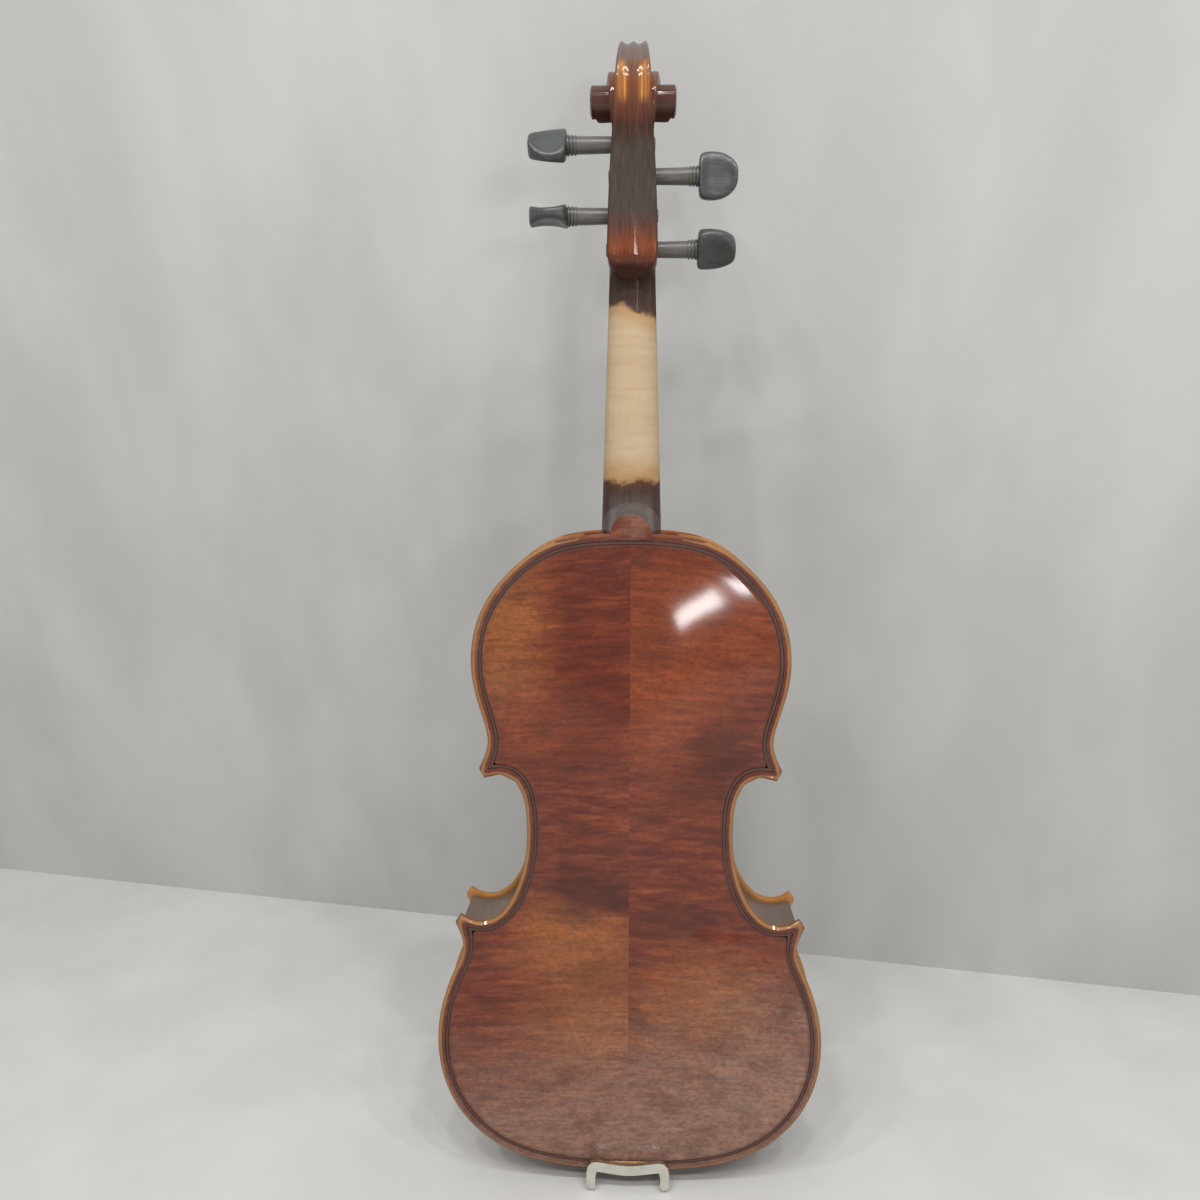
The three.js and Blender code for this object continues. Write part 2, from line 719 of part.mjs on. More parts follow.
// Ribs with their linings
const ribOuter = ribOverhang;
const ribInner = ribOverhang + ribThickness;
function ribStrip(bout, side, shares, outer, inner, low, high, steps) {
  const [start, end] = shares;
  return skin(Array.from({ length: steps + 1 }, (_, i) => {
    const share = blend(start, end, i / steps);
    const [a, b] = [boutPoint(bout, outer, share), boutPoint(bout, inner, share)];
    return [
      at(side * a.x, low, a.y), at(side * a.x, high, a.y),
      at(side * b.x, high, b.y), at(side * b.x, low, b.y),
    ];
  }));
}
const buttonBore = (radius) => new THREE.CylinderGeometry(radius, radius, neckBlockDepth * 2, 16)
  .rotateX(Math.PI / 2).translate(0, buttonY, 0);
const boutNames = ['lower', 'middle', 'upper'];
const boutLengths = boutPaths.map((path) => path.getLength());
const ribShares = [
  [0, 1 - fitGap / boutLengths[0]],
  [fitGap / boutLengths[1], 1 - fitGap / boutLengths[1]],
  [fitGap / boutLengths[2], 1],
];
const cornerShare = (bout) => (cornerBlockReach + overrun) / boutLengths[bout];
const liningShares = [
  [(half(endBlockWidth) + overrun) / boutLengths[0], 1 - cornerShare(0)],
  [cornerShare(1), 1 - cornerShare(1)],
  [cornerShare(2), 1 - (half(neckBlockWidth) + overrun) / boutLengths[2]],
];
const socketY = half(ribHeight);
for (const [name, side] of sides) {
  boutNames.forEach((boutName, bout) => {
    const steps = boutSteps[bout];
    const strip = ribStrip(bout, side, ribShares[bout], ribOuter, ribInner, 0, ribHeight, steps);
    const lining = (low, high) => ribStrip(
      bout, side, liningShares[bout], half(ribOuter + ribInner), hollowInset, low, high, steps - 2);
    const linings = [lining(0, liningHeight), lining(ribHeight - liningHeight, ribHeight)];
    const cutters = [];
    if (boutName === 'lower') cutters.push(buttonBore(buttonShankRadius + fitGap));
    if (boutName === 'lower' && name === 'treble') {
      cutters.push(new THREE.CylinderGeometry(socketBarrelRadius + fitGap, socketBarrelRadius + fitGap,
        lowerHalf, 16).rotateZ(Math.PI / 2).translate(-lowerHalf, socketY, socketZ));
    }
    if (boutName === 'upper') cutters.push(heel(fitGap));
    add(`rib_${boutName}_${name}`, cut(joined(strip, ...linings), ...cutters), maple);
  });
}

// Blocks inside the ribs
const withinRibs = () => slab(wholeRing(ribInner + fitGap), 0, ribHeight);
const common = (first, second) => shapeOf(solid(first).intersect(solid(second)));
const neckBlockBox = box(-half(neckBlockWidth), half(neckBlockWidth), 0, ribHeight,
  bodyLength - ribInner - neckBlockDepth, bodyLength);
add('neck_block', cut(common(withinRibs(), neckBlockBox), heel(fitGap)), paleWood);
const endBlockBox = box(-half(endBlockWidth), half(endBlockWidth), 0, ribHeight,
  0, ribInner + endBlockDepth);
add('end_block', cut(common(withinRibs(), endBlockBox), buttonBore(buttonShankRadius + fitGap)), paleWood);
for (const [name, side] of sides) {
  const corners = [['lower', lowerTip, -1], ['upper', upperTip, 1]];
  corners.forEach(([corner, tip, away]) => {
    const reach = cornerBlockReach;
    const wedge = slab([
      flat(side * (tip.x + reach * 0.2), tip.y),
      flat(side * (tip.x - reach * 0.25), tip.y + away * reach),
      flat(side * (tip.x - reach), tip.y + away * reach * 0.4),
      flat(side * (tip.x - reach), tip.y - away * reach * 0.2),
    ], 0, ribHeight);
    add(`block_${corner}_${name}`, common(withinRibs(), wedge), paleWood);
  });
}

// Height of a piece's surface above or below a place
const probe = new THREE.Raycaster();
function surfaceY(mesh, x, z, upwards, start) {
  probe.set(at(x, start, z), at(0, upwards ? 1 : -1, 0));
  return probe.intersectObject(mesh)[0].point.y;
}
const insideTop = (x, z) => surfaceY(x > 0 ? tops.bass : tops.treble, x, z, true, half(ribHeight));
const insideBack = (x, z) => surfaceY(x > 0 ? backs.bass : backs.treble, x, z, false, half(ribHeight));
const onTop = (x, z) => surfaceY(x > 0 ? tops.bass : tops.treble, x, z, false, bridgeTopY);

// Bass bar, fitted under the top
const barSteps = 10;
add('bass_bar', skin(Array.from({ length: barSteps + 1 }, (_, i) => {
  const share = i / barSteps;
  const z = blend(bassBarBottomMargin, bassBarTopZ, share);
  const x = bassBarX - (z - bridgeZ) * Math.tan(radians(bassBarLean));
  const [left, right] = [x - half(bassBarWidth), x + half(bassBarWidth)];
  const roof = Math.min(insideTop(left, z), insideTop(right, z)) - glueGap;
  const height = blend(bassBarEndHeight, bassBarHeight, Math.sin(Math.PI * share));
  return [at(left, roof, z), at(right, roof, z), at(right, roof - height, z), at(left, roof - height, z)];
})), spruce);

// Sound post, standing between back and top
const postRim = circle(half(soundPostDiameter), 8, soundPostX, soundPostZ);
const postLow = Math.max(...postRim.map((point) => insideBack(point.x, point.y))) + fitGap;
const postHigh = Math.min(...postRim.map((point) => insideTop(point.x, point.y))) - fitGap;
add('sound_post', slab(postRim, postLow, postHigh), spruce);

// Neck shaft, with the flat that carries the fingerboard
const boardEndZ = nutZ - fingerboardLength;
const boardWidth = (z) => blend(fingerboardTopWidth, fingerboardEndWidth, (nutZ - z) / fingerboardLength);
const shaftArcSteps = 8;
function shaftSection(z, thickness) {
  const width = half(boardWidth(Math.min(z, nutZ)));
  const top = gluePlane(z);
  const side = thickness * 0.16;
  const arc = Array.from({ length: shaftArcSteps + 1 }, (_, i) => {
    const angle = (Math.PI * i) / shaftArcSteps;
    return at(width * Math.cos(angle), top - side - (thickness - side) * Math.sin(angle) ** 0.9, z);
  });
  return [at(width, top, z), ...arc, at(-width, top, z)];
}
const shaftStart = bodyLength + fitGap;
const shaft = () => skin([
  shaftSection(shaftStart, neckRootThickness), shaftSection(neckRootZ, neckRootThickness),
  shaftSection(half(neckRootZ + pegboxStartZ), half(neckRootThickness + neckTipThickness)),
  shaftSection(pegboxStartZ, neckTipThickness), shaftSection(troughStartZ, neckTipThickness),
]);

// Pegbox and scroll: one band whose back carries two flutes and a ridge between them
const crestShares = [[1, 1], [0.86, 0], [0.66, 0.75], [0.43, 1.4], [0.2, 0.9], [0, 0]];
function bandSection(back, front, width, flute, bevel) {
  const inward = front.clone().sub(back).normalize();
  const depthAt = ([across, depth]) => (across === 1 ? bevel : depth * flute);
  const crest = (share, sign) => {
    const point = back.clone().addScaledVector(inward, depthAt(share));
    return at(sign * share[0] * width, point.x, point.y);
  };
  const left = crestShares.map((share) => crest(share, -1));
  const right = crestShares.slice(0, -1).reverse().map((share) => crest(share, 1));
  return [...left, ...right, at(width, front.x, front.y), at(-width, front.x, front.y)];
}
const pegboxRowShares = [
  [0, 0, 0, 0.75, 0], [0.035, 0.36, 0.01, 0.9, 0.3], [0.075, 0.56, 0.02, 1, 0.7], [0.13, 0.645, 0.05, 1, 1],
  [0.28, 0.71, 0.24, 0.93, 1], [0.48, 0.79, 0.5, 0.78, 1], [0.68, 0.88, 0.76, 0.55, 1],
  [0.86, 0.96, 0.97, 0.27, 1], [1, 1, 1, 0.02, 1],
];
const pegboxFront = gluePlane(pegboxStartZ) - fitGap;
const pegboxRows = pegboxRowShares.map(([rise, back, front, width, flute]) => ({
  z: blend(pegboxStartZ, pegboxEndZ, rise),
  back: blend(pegboxChinY, pegboxBackY, back),
  front: blend(pegboxFront, pegboxThroatY, front),
  width: half(blend(pegboxThroatWidth, pegboxWidth, width)),
  flute: flute * half(scrollFluteDepth),
}));
const pegboxAt = (z) => {
  const upper = Math.max(1, pegboxRows.findIndex((row) => row.z >= z));
  const [a, b] = [pegboxRows[upper - 1], pegboxRows[upper]];
  const share = (z - a.z) / (b.z - a.z);
  return {
    back: blend(a.back, b.back, share),
    front: blend(a.front, b.front, share),
    width: blend(a.width, b.width, share),
  };
};
const pegbox = () => skin(pegboxRows.map((row) => (
  bandSection(flat(row.back, row.z), flat(row.front, row.z), row.width, row.flute, scrollBevel))));

// The spiral, by quarter turns from the back of the pegbox: radius and half width as shares
const spiralShares = [
  [0.87, 0.42], [1, 0.3], [0.89, 0.36], [0.735, 0.45], [0.59, 0.545], [0.475, 0.61],
  [0.395, 0.72], [0.33, 0.87], [0.29, 1],
];
const spiral = new THREE.SplineCurve(spiralShares.map(([radius, width]) => flat(radius, width)));
const quarters = spiralShares.length - 1;
const stepsPerQuarter = 3;
function spiralSection(turn) {
  const share = turn / quarters;
  const inner = Math.min(1, (turn + 4) / quarters);
  const { x: radius, y: width } = spiral.getPoint(share);
  const angle = half(Math.PI) * turn;
  const place = (distance) => flat(
    scrollEyeY - distance * Math.cos(angle), scrollEyeZ + distance * Math.sin(angle));
  const core = spiral.getPoint(inner).x * 0.62;
  const flute = scrollFluteDepth * (1 - share);
  return bandSection(place(radius * scrollRadius), place(core * scrollRadius), width * half(scrollWidth),
    flute, scrollBevel);
}
const scrollPart = (first) => skin(Array.from({ length: 2 * stepsPerQuarter + 1 }, (_, i) => (
  spiralSection(first + i / stepsPerQuarter))));
const scrollParts = () => Array.from({ length: quarters / 2 }, (_, pair) => scrollPart(pair * 2));
const scrollEye = () => {
  const radius = spiralShares[quarters][0] * scrollRadius * 0.97;
  const length = scrollWidth - scrollBevel;
  return new THREE.CylinderGeometry(radius, radius, length, 12).rotateZ(half(Math.PI))
    .translate(0, scrollEyeY, scrollEyeZ);
};

// Trough for the strings, open to the front
const troughRowShares = [[0, 1], [0.07, 1], [0.3, 1], [0.6, 1], [0.83, 1], [0.9, 0], [1, 0]];
const trough = () => skin(troughRowShares.map(([rise, open], i) => {
  const z = blend(troughStartZ, troughEndZ, rise);
  const { back, front, width } = pegboxAt(z);
  const slope = i === 0 ? half(pegboxFloor) : 0;
  const top = open ? front + overrun : blend(front, back, (rise - 0.9) * 4);
  const x = width - pegboxWall;
  const low = back + pegboxFloor + slope;
  return [at(-x, low, z), at(-x, top, z), at(x, top, z), at(x, low, z)];
}));

const pegRows = pegShares.map(({ up, inward, ...peg }) => {
  const z = blend(pegboxStartZ, pegboxEndZ, up);
  const { back, front } = pegboxAt(z);
  return { ...peg, z, y: blend(back, front, inward) };
});
const pegTaper = (distance) => blend(pegTipRadius, pegShaftRadius, distance);
function pegBore({ side, y, z }) {
  const { width } = pegboxAt(z);
  const reach = width + overrun;
  const radii = [pegTaper(-overrun / pegboxWidth) + fitGap, pegTaper(1 + overrun / pegboxWidth) + fitGap];
  return new THREE.CylinderGeometry(radii[1], radii[0], reach * 2, 12)
    .rotateZ(-side * half(Math.PI)).translate(0, y, z);
}
const bandedHead = joined(shaft(), heel(0), pegbox(), ...scrollParts(), scrollEye());
add('neck', cut(bandedHead, trough(), ...pegRows.map(pegBore)), maple);

// Fingerboard and nut
const crown = (x, width) => (
  Math.sqrt(fingerboardRadius ** 2 - x ** 2) - Math.sqrt(fingerboardRadius ** 2 - half(width) ** 2));
const crownShares = [1, 0.72, 0.4, 0, -0.4, -0.72, -1];
function boardSection(z, hollow, lift) {
  const width = boardWidth(z);
  const base = gluePlane(z) + fitGap;
  const margin = fingerboardEdge;
  return [
    at(-half(width), base, z), at(-half(width) + margin, base + hollow * 0.3, z), at(0, base + hollow, z),
    at(half(width) - margin, base + hollow * 0.3, z), at(half(width), base, z),
    ...crownShares.map((share) => {
      const x = share * half(width);
      return at(x, base + fingerboardEdge + lift + crown(x, width), z);
    }),
  ];
}
add('fingerboard', skin([
  boardSection(boardEndZ, fingerboardHollow, 0), boardSection(bodyLength, fitGap, 0),
  boardSection(nutZ, fitGap, 0),
]), ebony);
add('nut', skin([nutZ, nutZ + nutLength].map((z, i) => boardSection(
  z, fitGap, nutHeight * (i ? -1 : 1)))), ebony);

// Pegs: tip, tapered shaft, collar and a heart-shaped head hollowed on both faces
const pegProfileShares = [
  [0, 1], [0.1, 1.28], [0.3, 1], [0.45, 1.22], [0.7, 1.22], [0.8, 0.95], [1, 0.95],
];
const headShares = [
  [0.015, 0.78, 0.8], [0.08, 0.95, 1], [0.27, 1, 0.8], [0.5, 0.97, 0.68], [0.72, 0.83, 0.78],
  [0.89, 0.58, 0.9], [0.985, 0.28, 0.6],
];
const pegSides = 10;
function pegLoop(x, a, b) {
  return Array.from({ length: pegSides }, (_, i) => {
    const angle = (2 * Math.PI * (i + 0.5)) / pegSides;
    return at(x, b * Math.cos(angle), a * Math.sin(angle));
  });
}
for (const row of pegRows) {
  const { width } = pegboxAt(row.z);
  const tip = -width - pegTipReach;
  const shoulder = pegCollarX + pegCollarLength;
  const loops = [
    pegLoop(tip, pegTipRadius, pegTipRadius),
    ...pegProfileShares.map(([rise, radius]) => {
      const size = radius * pegShaftRadius;
      return pegLoop(pegCollarX + rise * pegCollarLength, size, size);
    }),
    ...headShares.map(([rise, across, through]) => pegLoop(
      shoulder + rise * pegHeadLength, across * half(pegHeadWidth), through * half(pegHeadThickness))),
  ];
  const geometry = skin(loops);
  geometry.rotateX(radians(row.turn));
  if (row.side < 0) geometry.rotateY(Math.PI);
  const mesh = add(`peg_${row.name}`, geometry, ebony);
  mesh.position.set(0, row.y, row.z);
}

// Bridge crown, and the strings' places on it and on the nut
const bridgeCrown = (x) => bridgeTopY - bridgeTopRadius + Math.sqrt(bridgeTopRadius ** 2 - x ** 2);
const nutTop = (x) => (
  gluePlane(nutZ) + fitGap + fingerboardEdge + nutHeight + crown(x, fingerboardTopWidth));
const nutRear = (x) => nutTop(x) - nutHeight * 2 - nutLength * Math.tan(radians(neckAngle));
const stringShare = (name) => 1 - (2 * stringOrder.indexOf(name)) / (stringOrder.length - 1);

// A way through chosen points, taken one step from point to point
class Route extends THREE.Curve {
  constructor(points) {
    super();
    this.points = points;
  }

  getPoint(share, target = at(0, 0, 0)) {
    const place = share * (this.points.length - 1);
    const i = Math.min(Math.floor(place), this.points.length - 2);
    return target.lerpVectors(this.points[i], this.points[i + 1], place - i);
  }

  getPointAt(share, target) {
    return this.getPoint(share, target);
  }

  getTangent(share, target = at(0, 0, 0)) {
    const i = Math.round(share * (this.points.length - 1));
    const before = this.points[Math.max(0, i - 1)];
    const after = this.points[Math.min(this.points.length - 1, i + 1)];
    const here = this.points[i];
    const arriving = here.clone().sub(before).normalize();
    return target.subVectors(after, here).normalize().add(arriving).normalize();
  }

  getTangentAt(share, target) {
    return this.getTangent(share, target);
  }
}
const tube = (points, radius, count) => new THREE.ExtrudeGeometry(new THREE.Shape(circle(radius, count)), {
  steps: points.length - 1, bevelEnabled: false, extrudePath: new Route(points),
});

// Tailpiece line: its slope, and places along it and square to it
const tailSlope = Math.atan2(tailpieceTopY - tailpieceBottomY, tailpieceTopZ - tailpieceBottomZ);
const tailY = (z) => tailpieceBottomY + (z - tailpieceBottomZ) * Math.tan(tailSlope);
const onTail = (x, along, above) => at(
  x, tailY(pivotZ) + along * Math.sin(tailSlope) + above * Math.cos(tailSlope),
  pivotZ + along * Math.cos(tailSlope) - above * Math.sin(tailSlope));
const tailEnd = (tailpieceTopZ - pivotZ) / Math.cos(tailSlope);
const leverFace = tailEnd + leverGap + leverThickness;
const hookHeight = tailpieceThickness + tailpieceCrown * 0.6;
const stringX = (name, spread) => stringShare(name) * half(spread);

// Strings: hook, bridge, nut and three turns on the peg, each one unbroken tube
function stringPoints(name) {
  const radius = stringRadii[name];
  const peg = pegRows.find((row) => row.name === name);
  const nutX = stringX(name, stringSpreadAtNut);
  const bridgeX = stringX(name, stringSpreadAtBridge);
  const lift = stringLift + radius;
  const start = onTail(bridgeX * 0.97, leverFace + fitGap, hookHeight - radius * 2);
  const turnRadius = pegShaftRadius + fitGap + radius;
  const wall = pegboxAt(peg.z).width - pegboxWall;
  const firstX = peg.side * (wall - windingWallGap - radius);
  const rear = at(nutX, nutRear(nutX) + lift, nutZ + nutLength);
  const run = flat(rear.z - peg.z, rear.y - peg.y);
  const meeting = run.angle() - Math.acos(turnRadius / run.length());
  const steps = windingTurns * windingSteps;
  const turns = Array.from({ length: steps + 1 }, (_, i) => {
    const angle = meeting - (2 * Math.PI * i) / windingSteps;
    return at(firstX - peg.side * windingPitch * (i / windingSteps),
      peg.y + turnRadius * Math.sin(angle), peg.z + turnRadius * Math.cos(angle));
  });
  const last = turns[steps];
  const end = last.clone().add(last.clone().sub(turns[steps - 1]).normalize().multiplyScalar(radius * 2));
  const fore = at(nutX, nutTop(nutX) + lift, nutZ);
  return {
    points: [start, at(bridgeX, bridgeCrown(bridgeX) + lift, bridgeZ), fore, rear, ...turns, end],
    turns,
  };
}
const windingGaps = {};
for (const name of stringOrder) {
  const { points, turns } = stringPoints(name);
  const gaps = turns.slice(windingSteps).flatMap((point, i) => (
    turns.slice(0, i + 1).map((other) => point.distanceTo(other))));
  windingGaps[name] = Math.min(...gaps) - stringRadii[name] * 2;
  add(`string_${name}`, tube(points, stringRadii[name], 6), steel);
}
const leastGap = Math.min(...Object.values(windingGaps));
console.log(`Least gap between the turns of a string: ${leastGap.toFixed(2)} mm`);

// Saddle, let into the lower edge of the top
const saddleShares = [[0, 0], [0.84, 0], [0.97, 0.18], [1, 0.4], [0.97, 0.72], [0.74, 1], [0, 1]];
const saddleProfile = saddleShares.map(([up, along]) => (
  flat(blend(ribHeight, saddleTopY, up), along * saddleLength)));
add('saddle', skin([-1, 1].map((side) => saddleProfile.map((point) => (
  at(side * half(saddleWidth), point.x, point.y))))), ebony);

// Bridge: feet fitted to the arch, legs, waist, wings and heart
const bridgeRear = bridgeZ - half(bridgeTopThickness);
const footShares = [0.44, 0.51, 0.58, 0.65, 0.72, 0.79, 0.86, 0.93, 1];
const footSeat = (x) => bridgeSeat + Math.max(
  onTop(x, bridgeRear), onTop(x, bridgeRear + bridgeFootThickness));
const bridgeShares = [
  [0, 0.27], [0.18, 0.25], [0.33, 0.18], [0.42, 0.08],
];
const bridgeSideShares = [
  [1, 0.055], [0.86, 0.085], [0.79, 0.15], [0.74, 0.26], [0.8, 0.33], [0.84, 0.38], [0.7, 0.41],
  [0.6, 0.44], [0.57, 0.5], [0.61, 0.56], [0.69, 0.57], [0.76, 0.53], [0.87, 0.51], [0.97, 0.57],
  [1, 0.66], [0.98, 0.74], [0.965, 0.8],
];
const bridgeTopShares = [0.95, 0.72, 0.48, 0.24];
const heartShares = [[0, 0.53], [0.12, 0.61], [0.15, 0.66], [0.08, 0.69], [0, 0.66]];
const bridgeFloor = footSeat(half(bridgeFootSpan));
function bridge() {
  const reach = half(bridgeFootSpan);
  const height = bridgeTopY - bridgeFloor;
  const place = ([across, up]) => flat(across * reach, bridgeFloor + up * height);
  const right = [
    ...bridgeShares.map(place),
    ...footShares.map((share) => flat(share * reach, footSeat(share * reach))),
    ...bridgeSideShares.map(place),
    ...bridgeTopShares.map((share) => flat(share * reach, bridgeCrown(share * reach))),
    flat(0, bridgeTopY),
  ];
  const mirrored = (points) => points.slice(1, -1).reverse().map((point) => flat(-point.x, point.y));
  const shape = new THREE.Shape([...right, ...mirrored(right)]);
  const heart = heartShares.map(place);
  shape.holes.push(new THREE.Path([...heart, ...mirrored(heart)]));
  const geometry = new THREE.ExtrudeGeometry(shape, { depth: bridgeFootThickness, bevelEnabled: false });
  const position = geometry.attributes.position;
  for (let i = 0; i < position.count; i++) {
    const rise = (position.getY(i) - bridgeFloor) / height;
    const taper = blend(1, bridgeTopThickness / bridgeFootThickness, rise);
    position.setZ(i, bridgeRear + position.getZ(i) * taper);
  }
  return tidy(geometry);
}
add('bridge', bridge(), paleWood);

// Tailpiece, laid out flat along its own line: above is Y and along is Z
const tilted = (geometry) => geometry.rotateX(-tailSlope).translate(0, tailY(pivotZ), pivotZ);
const tailStart = (tailpieceBottomZ - pivotZ) / Math.cos(tailSlope);
const tailRowShares = [
  [0, 0.2, 0], [0.02, 0, 0], [0.3, 0, 0.25], [0.7, 0, 0.72], [0.95, 0, 1], [1, 0.12, 1],
];
const tailRows = tailRowShares.map(([rise, narrowing, widening]) => ({
  along: blend(tailStart, tailEnd, rise),
  width: half(blend(tailpieceBottomWidth, tailpieceTopWidth, widening) * (1 - narrowing)),
}));
const tailTop = (x, width) => (
  tailpieceThickness + tailpieceCrown * (width / half(tailpieceTopWidth)) * (1 - (x / width) ** 2));
const tailCrownShares = [1, 0.75, 0.4, 0, -0.4, -0.75, -1];
const tailPlate = () => skin(tailRows.map(({ along, width }) => [
  at(-width * 0.94, 0, along), at(width * 0.94, 0, along),
  ...tailCrownShares.map((share) => at(share * width, tailTop(share * width, width), along)),
]));
const tunerX = stringOrder.map((name) => stringX(name, stringSpreadAtBridge) * 0.97);
const lugOuter = half(tailpieceTopWidth - lugThickness);
const lugPlaces = [-lugOuter, half(tunerX[3] + tunerX[2]), 0, half(tunerX[0] + tunerX[1]), lugOuter];
const lugs = () => lugPlaces.map((x) => box(
  x - half(lugThickness), x + half(lugThickness), -pivotDrop - pivotBossRadius, half(tailpieceThickness),
  -pivotBossRadius, pivotBossRadius));
const rodLength = lugOuter * 2;
const crosswise = (radius, length) => new THREE.CylinderGeometry(radius, radius, length, 10)
  .rotateZ(half(Math.PI)).translate(0, -pivotDrop, 0);
const upright = (radius, low, high, x, along, count) => new THREE.CylinderGeometry(
  radius, radius, high - low, count).translate(x, half(low + high), along);
const shankBores = () => tunerX.map((x) => upright(
  tunerShankRadius + fitGap, -overrun, tailpieceThickness * 3, x, -tunerReach, 10));
const gutBores = () => [-1, 1].map((side) => new THREE.CylinderGeometry(
  tailGutRadius + fitGap, tailGutRadius + fitGap, tailGutHold * 2, 8)
  .rotateX(half(Math.PI)).translate(half(tailGutSpread) * side, half(tailpieceThickness), tailStart));
const tailpiece = cut(joined(tailPlate(), ...lugs(), crosswise(pivotRadius, rodLength)),
  ...shankBores(), ...gutBores());
add('tailpiece', tilted(tailpiece), ebony);

// Fine tuners: knob, screw and the lever that holds the string
function lever(x) {
  const arm = -pivotDrop - leverThickness;
  const boss = pivotBossRadius;
  const shape = new THREE.Shape([
    flat(-leverLength, arm), flat(-boss, arm), flat(0, -pivotDrop - boss), flat(boss, arm),
    flat(leverFace, arm), flat(leverFace, hookHeight), flat(leverFace - leverThickness, hookHeight),
    flat(leverFace - leverThickness, arm + leverThickness), flat(boss, -pivotDrop + half(boss)),
    flat(0, -pivotDrop + boss), flat(-boss, -pivotDrop + half(boss)), flat(-boss * 1.5, -pivotDrop),
    flat(-leverLength, -pivotDrop),
  ]);
  shape.holes.push(new THREE.Path(circle(pivotRadius + fitGap, 8, 0, -pivotDrop)));
  const geometry = new THREE.ExtrudeGeometry(shape, { depth: leverWidth, bevelEnabled: false });
  return geometry.translate(0, 0, -half(leverWidth)).rotateY(-half(Math.PI)).translate(x, 0, 0);
}
const tailWidthAtTuners = half(tailpieceTopWidth);
stringOrder.forEach((name, i) => {
  const x = tunerX[i];
  const inside = Math.max(0, Math.abs(x) - tunerKnobRadius);
  const base = tailTop(inside, tailWidthAtTuners) + tunerTravel + fitGap * 2;
  const shank = upright(tunerShankRadius, fitGap - pivotDrop, base + tunerKnobHeight, x, -tunerReach, 8);
  const bore = tunerShankRadius + fitGap;
  const knob = turned([
    [bore, 0], [tunerKnobRadius * 0.8, 0], [tunerKnobRadius, tunerKnobHeight * 0.25],
    [tunerKnobRadius, tunerKnobHeight], [bore, tunerKnobHeight], [bore, 0],
  ], 10).translate(x, base, -tunerReach);
  add(`tuner_${name}_screw`, tilted(shank), nickel);
  add(`tuner_${name}_knob`, tilted(knob), nickel);
  add(`tuner_${name}_lever`, tilted(lever(x)), nickel);
});

// End button in its bore, and the gut that runs from the tailpiece round its neck
const shoulderZ = ribOverhang - fitGap;
const headZ = buttonHeadLength - buttonLength;
const buttonProfile = [
  [0, -buttonLength], [buttonHeadRadius * 0.87, -buttonLength], [buttonHeadRadius, -buttonLength * 0.9],
  [buttonHeadRadius * 0.97, blend(-buttonLength, headZ, 0.7)], [buttonNeckRadius * 1.07, headZ],
  [buttonNeckRadius, half(headZ)], [buttonNeckRadius * 1.3, 0], [buttonNeckRadius * 1.3, shoulderZ],
  [buttonShankRadius, shoulderZ], [buttonShankRadius, buttonShankLength], [0, buttonShankLength],
];
add('end_button', turned(buttonProfile, 14).rotateX(half(Math.PI)).translate(0, buttonY, 0), ebony);
const gutTurnRadius = buttonNeckRadius + fitGap + tailGutRadius;
const gutZ = half(headZ) - fitGap;
const gutHold = tailStart + tailGutHold - fitGap;
const gutSaddleY = saddleTopY + fitGap + tailGutRadius;
function gutStrand(side) {
  const x = side * half(tailGutSpread);
  const edge = -tailGutRadius - fitGap * 2;
  return [
    onTail(x, gutHold, half(tailpieceThickness)), onTail(x, tailStart - fitGap, half(tailpieceThickness)),
    at(x, gutSaddleY, saddleLength * 0.6), at(x, gutSaddleY - fitGap, saddleLength * 0.2),
    at(x, blend(saddleTopY, gutSaddleY, 0.1), half(edge)),
    at(blend(x, side * gutTurnRadius, 0.2), saddleTopY - tailGutRadius * 3, edge),
    at(side * gutTurnRadius, buttonY + gutTurnRadius, gutZ), at(side * gutTurnRadius, buttonY, gutZ),
  ];
}
const gutSteps = 8;
const gutTurn = Array.from({ length: gutSteps - 1 }, (_, i) => {
  const angle = (Math.PI * (i + 1)) / gutSteps;
  return at(gutTurnRadius * Math.cos(angle), buttonY - gutTurnRadius * Math.sin(angle), gutZ);
});
add('tail_gut', tube([...gutStrand(1), ...gutTurn, ...gutStrand(-1).reverse()], tailGutRadius, 8), nylon);

// Chin rest: a dished cup beside the tailpiece, with an arm across it and two legs
const cupRows = [
  [0.66, cupBottomY], [0.93, blend(cupBottomY, cupTopY, 0.35)], [1, blend(cupBottomY, cupTopY, 0.7)],
  [0.97, cupTopY], [0.89, cupTopY - cupDishDepth * 0.1], [0.6, cupTopY - cupDishDepth * 0.75],
  [0.3, cupTopY - cupDishDepth],
];
const cupSides = 22;
const cup = () => skin(cupRows.map(([size, y]) => Array.from({ length: cupSides }, (_, i) => {
  const angle = (2 * Math.PI * i) / cupSides;
  const reach = half(cupLength) * size;
  const rise = half(cupWidth) * size;
  return at(cupX + reach * Math.cos(angle), y, cupZ + rise * Math.sin(angle));
})));
const armRowShares = [
  [0, 0, 0.9, 0, 0.75], [0.12, 0, 1, 0, 1], [0.55, 0, 1, 0, 1], [0.8, -0.6, 0.75, 0.12, 1],
  [1, -1.4, -0.45, 0.4, 0.7],
];
const arm = () => skin(armRowShares.map(([rise, low, high, drift, size]) => {
  const x = blend(-armEndX, cupX - half(cupLength) * 0.3, rise);
  const z = armZ + drift * armWidth;
  const reach = half(armWidth) * size;
  const [bottom, top] = [armY + low * armHeight, armY + high * armHeight];
  return [
    at(x, bottom, z - reach), at(x, top - half(armHeight) * size, z - reach), at(x, top, z - reach * 0.8),
    at(x, top, z + reach * 0.8), at(x, top - half(armHeight) * size, z + reach), at(x, bottom, z + reach),
  ];
}));
const edgeTop = ribHeight + edgeThickness;
const legFoot = edgeTop + fitGap + corkThickness + fitGap;
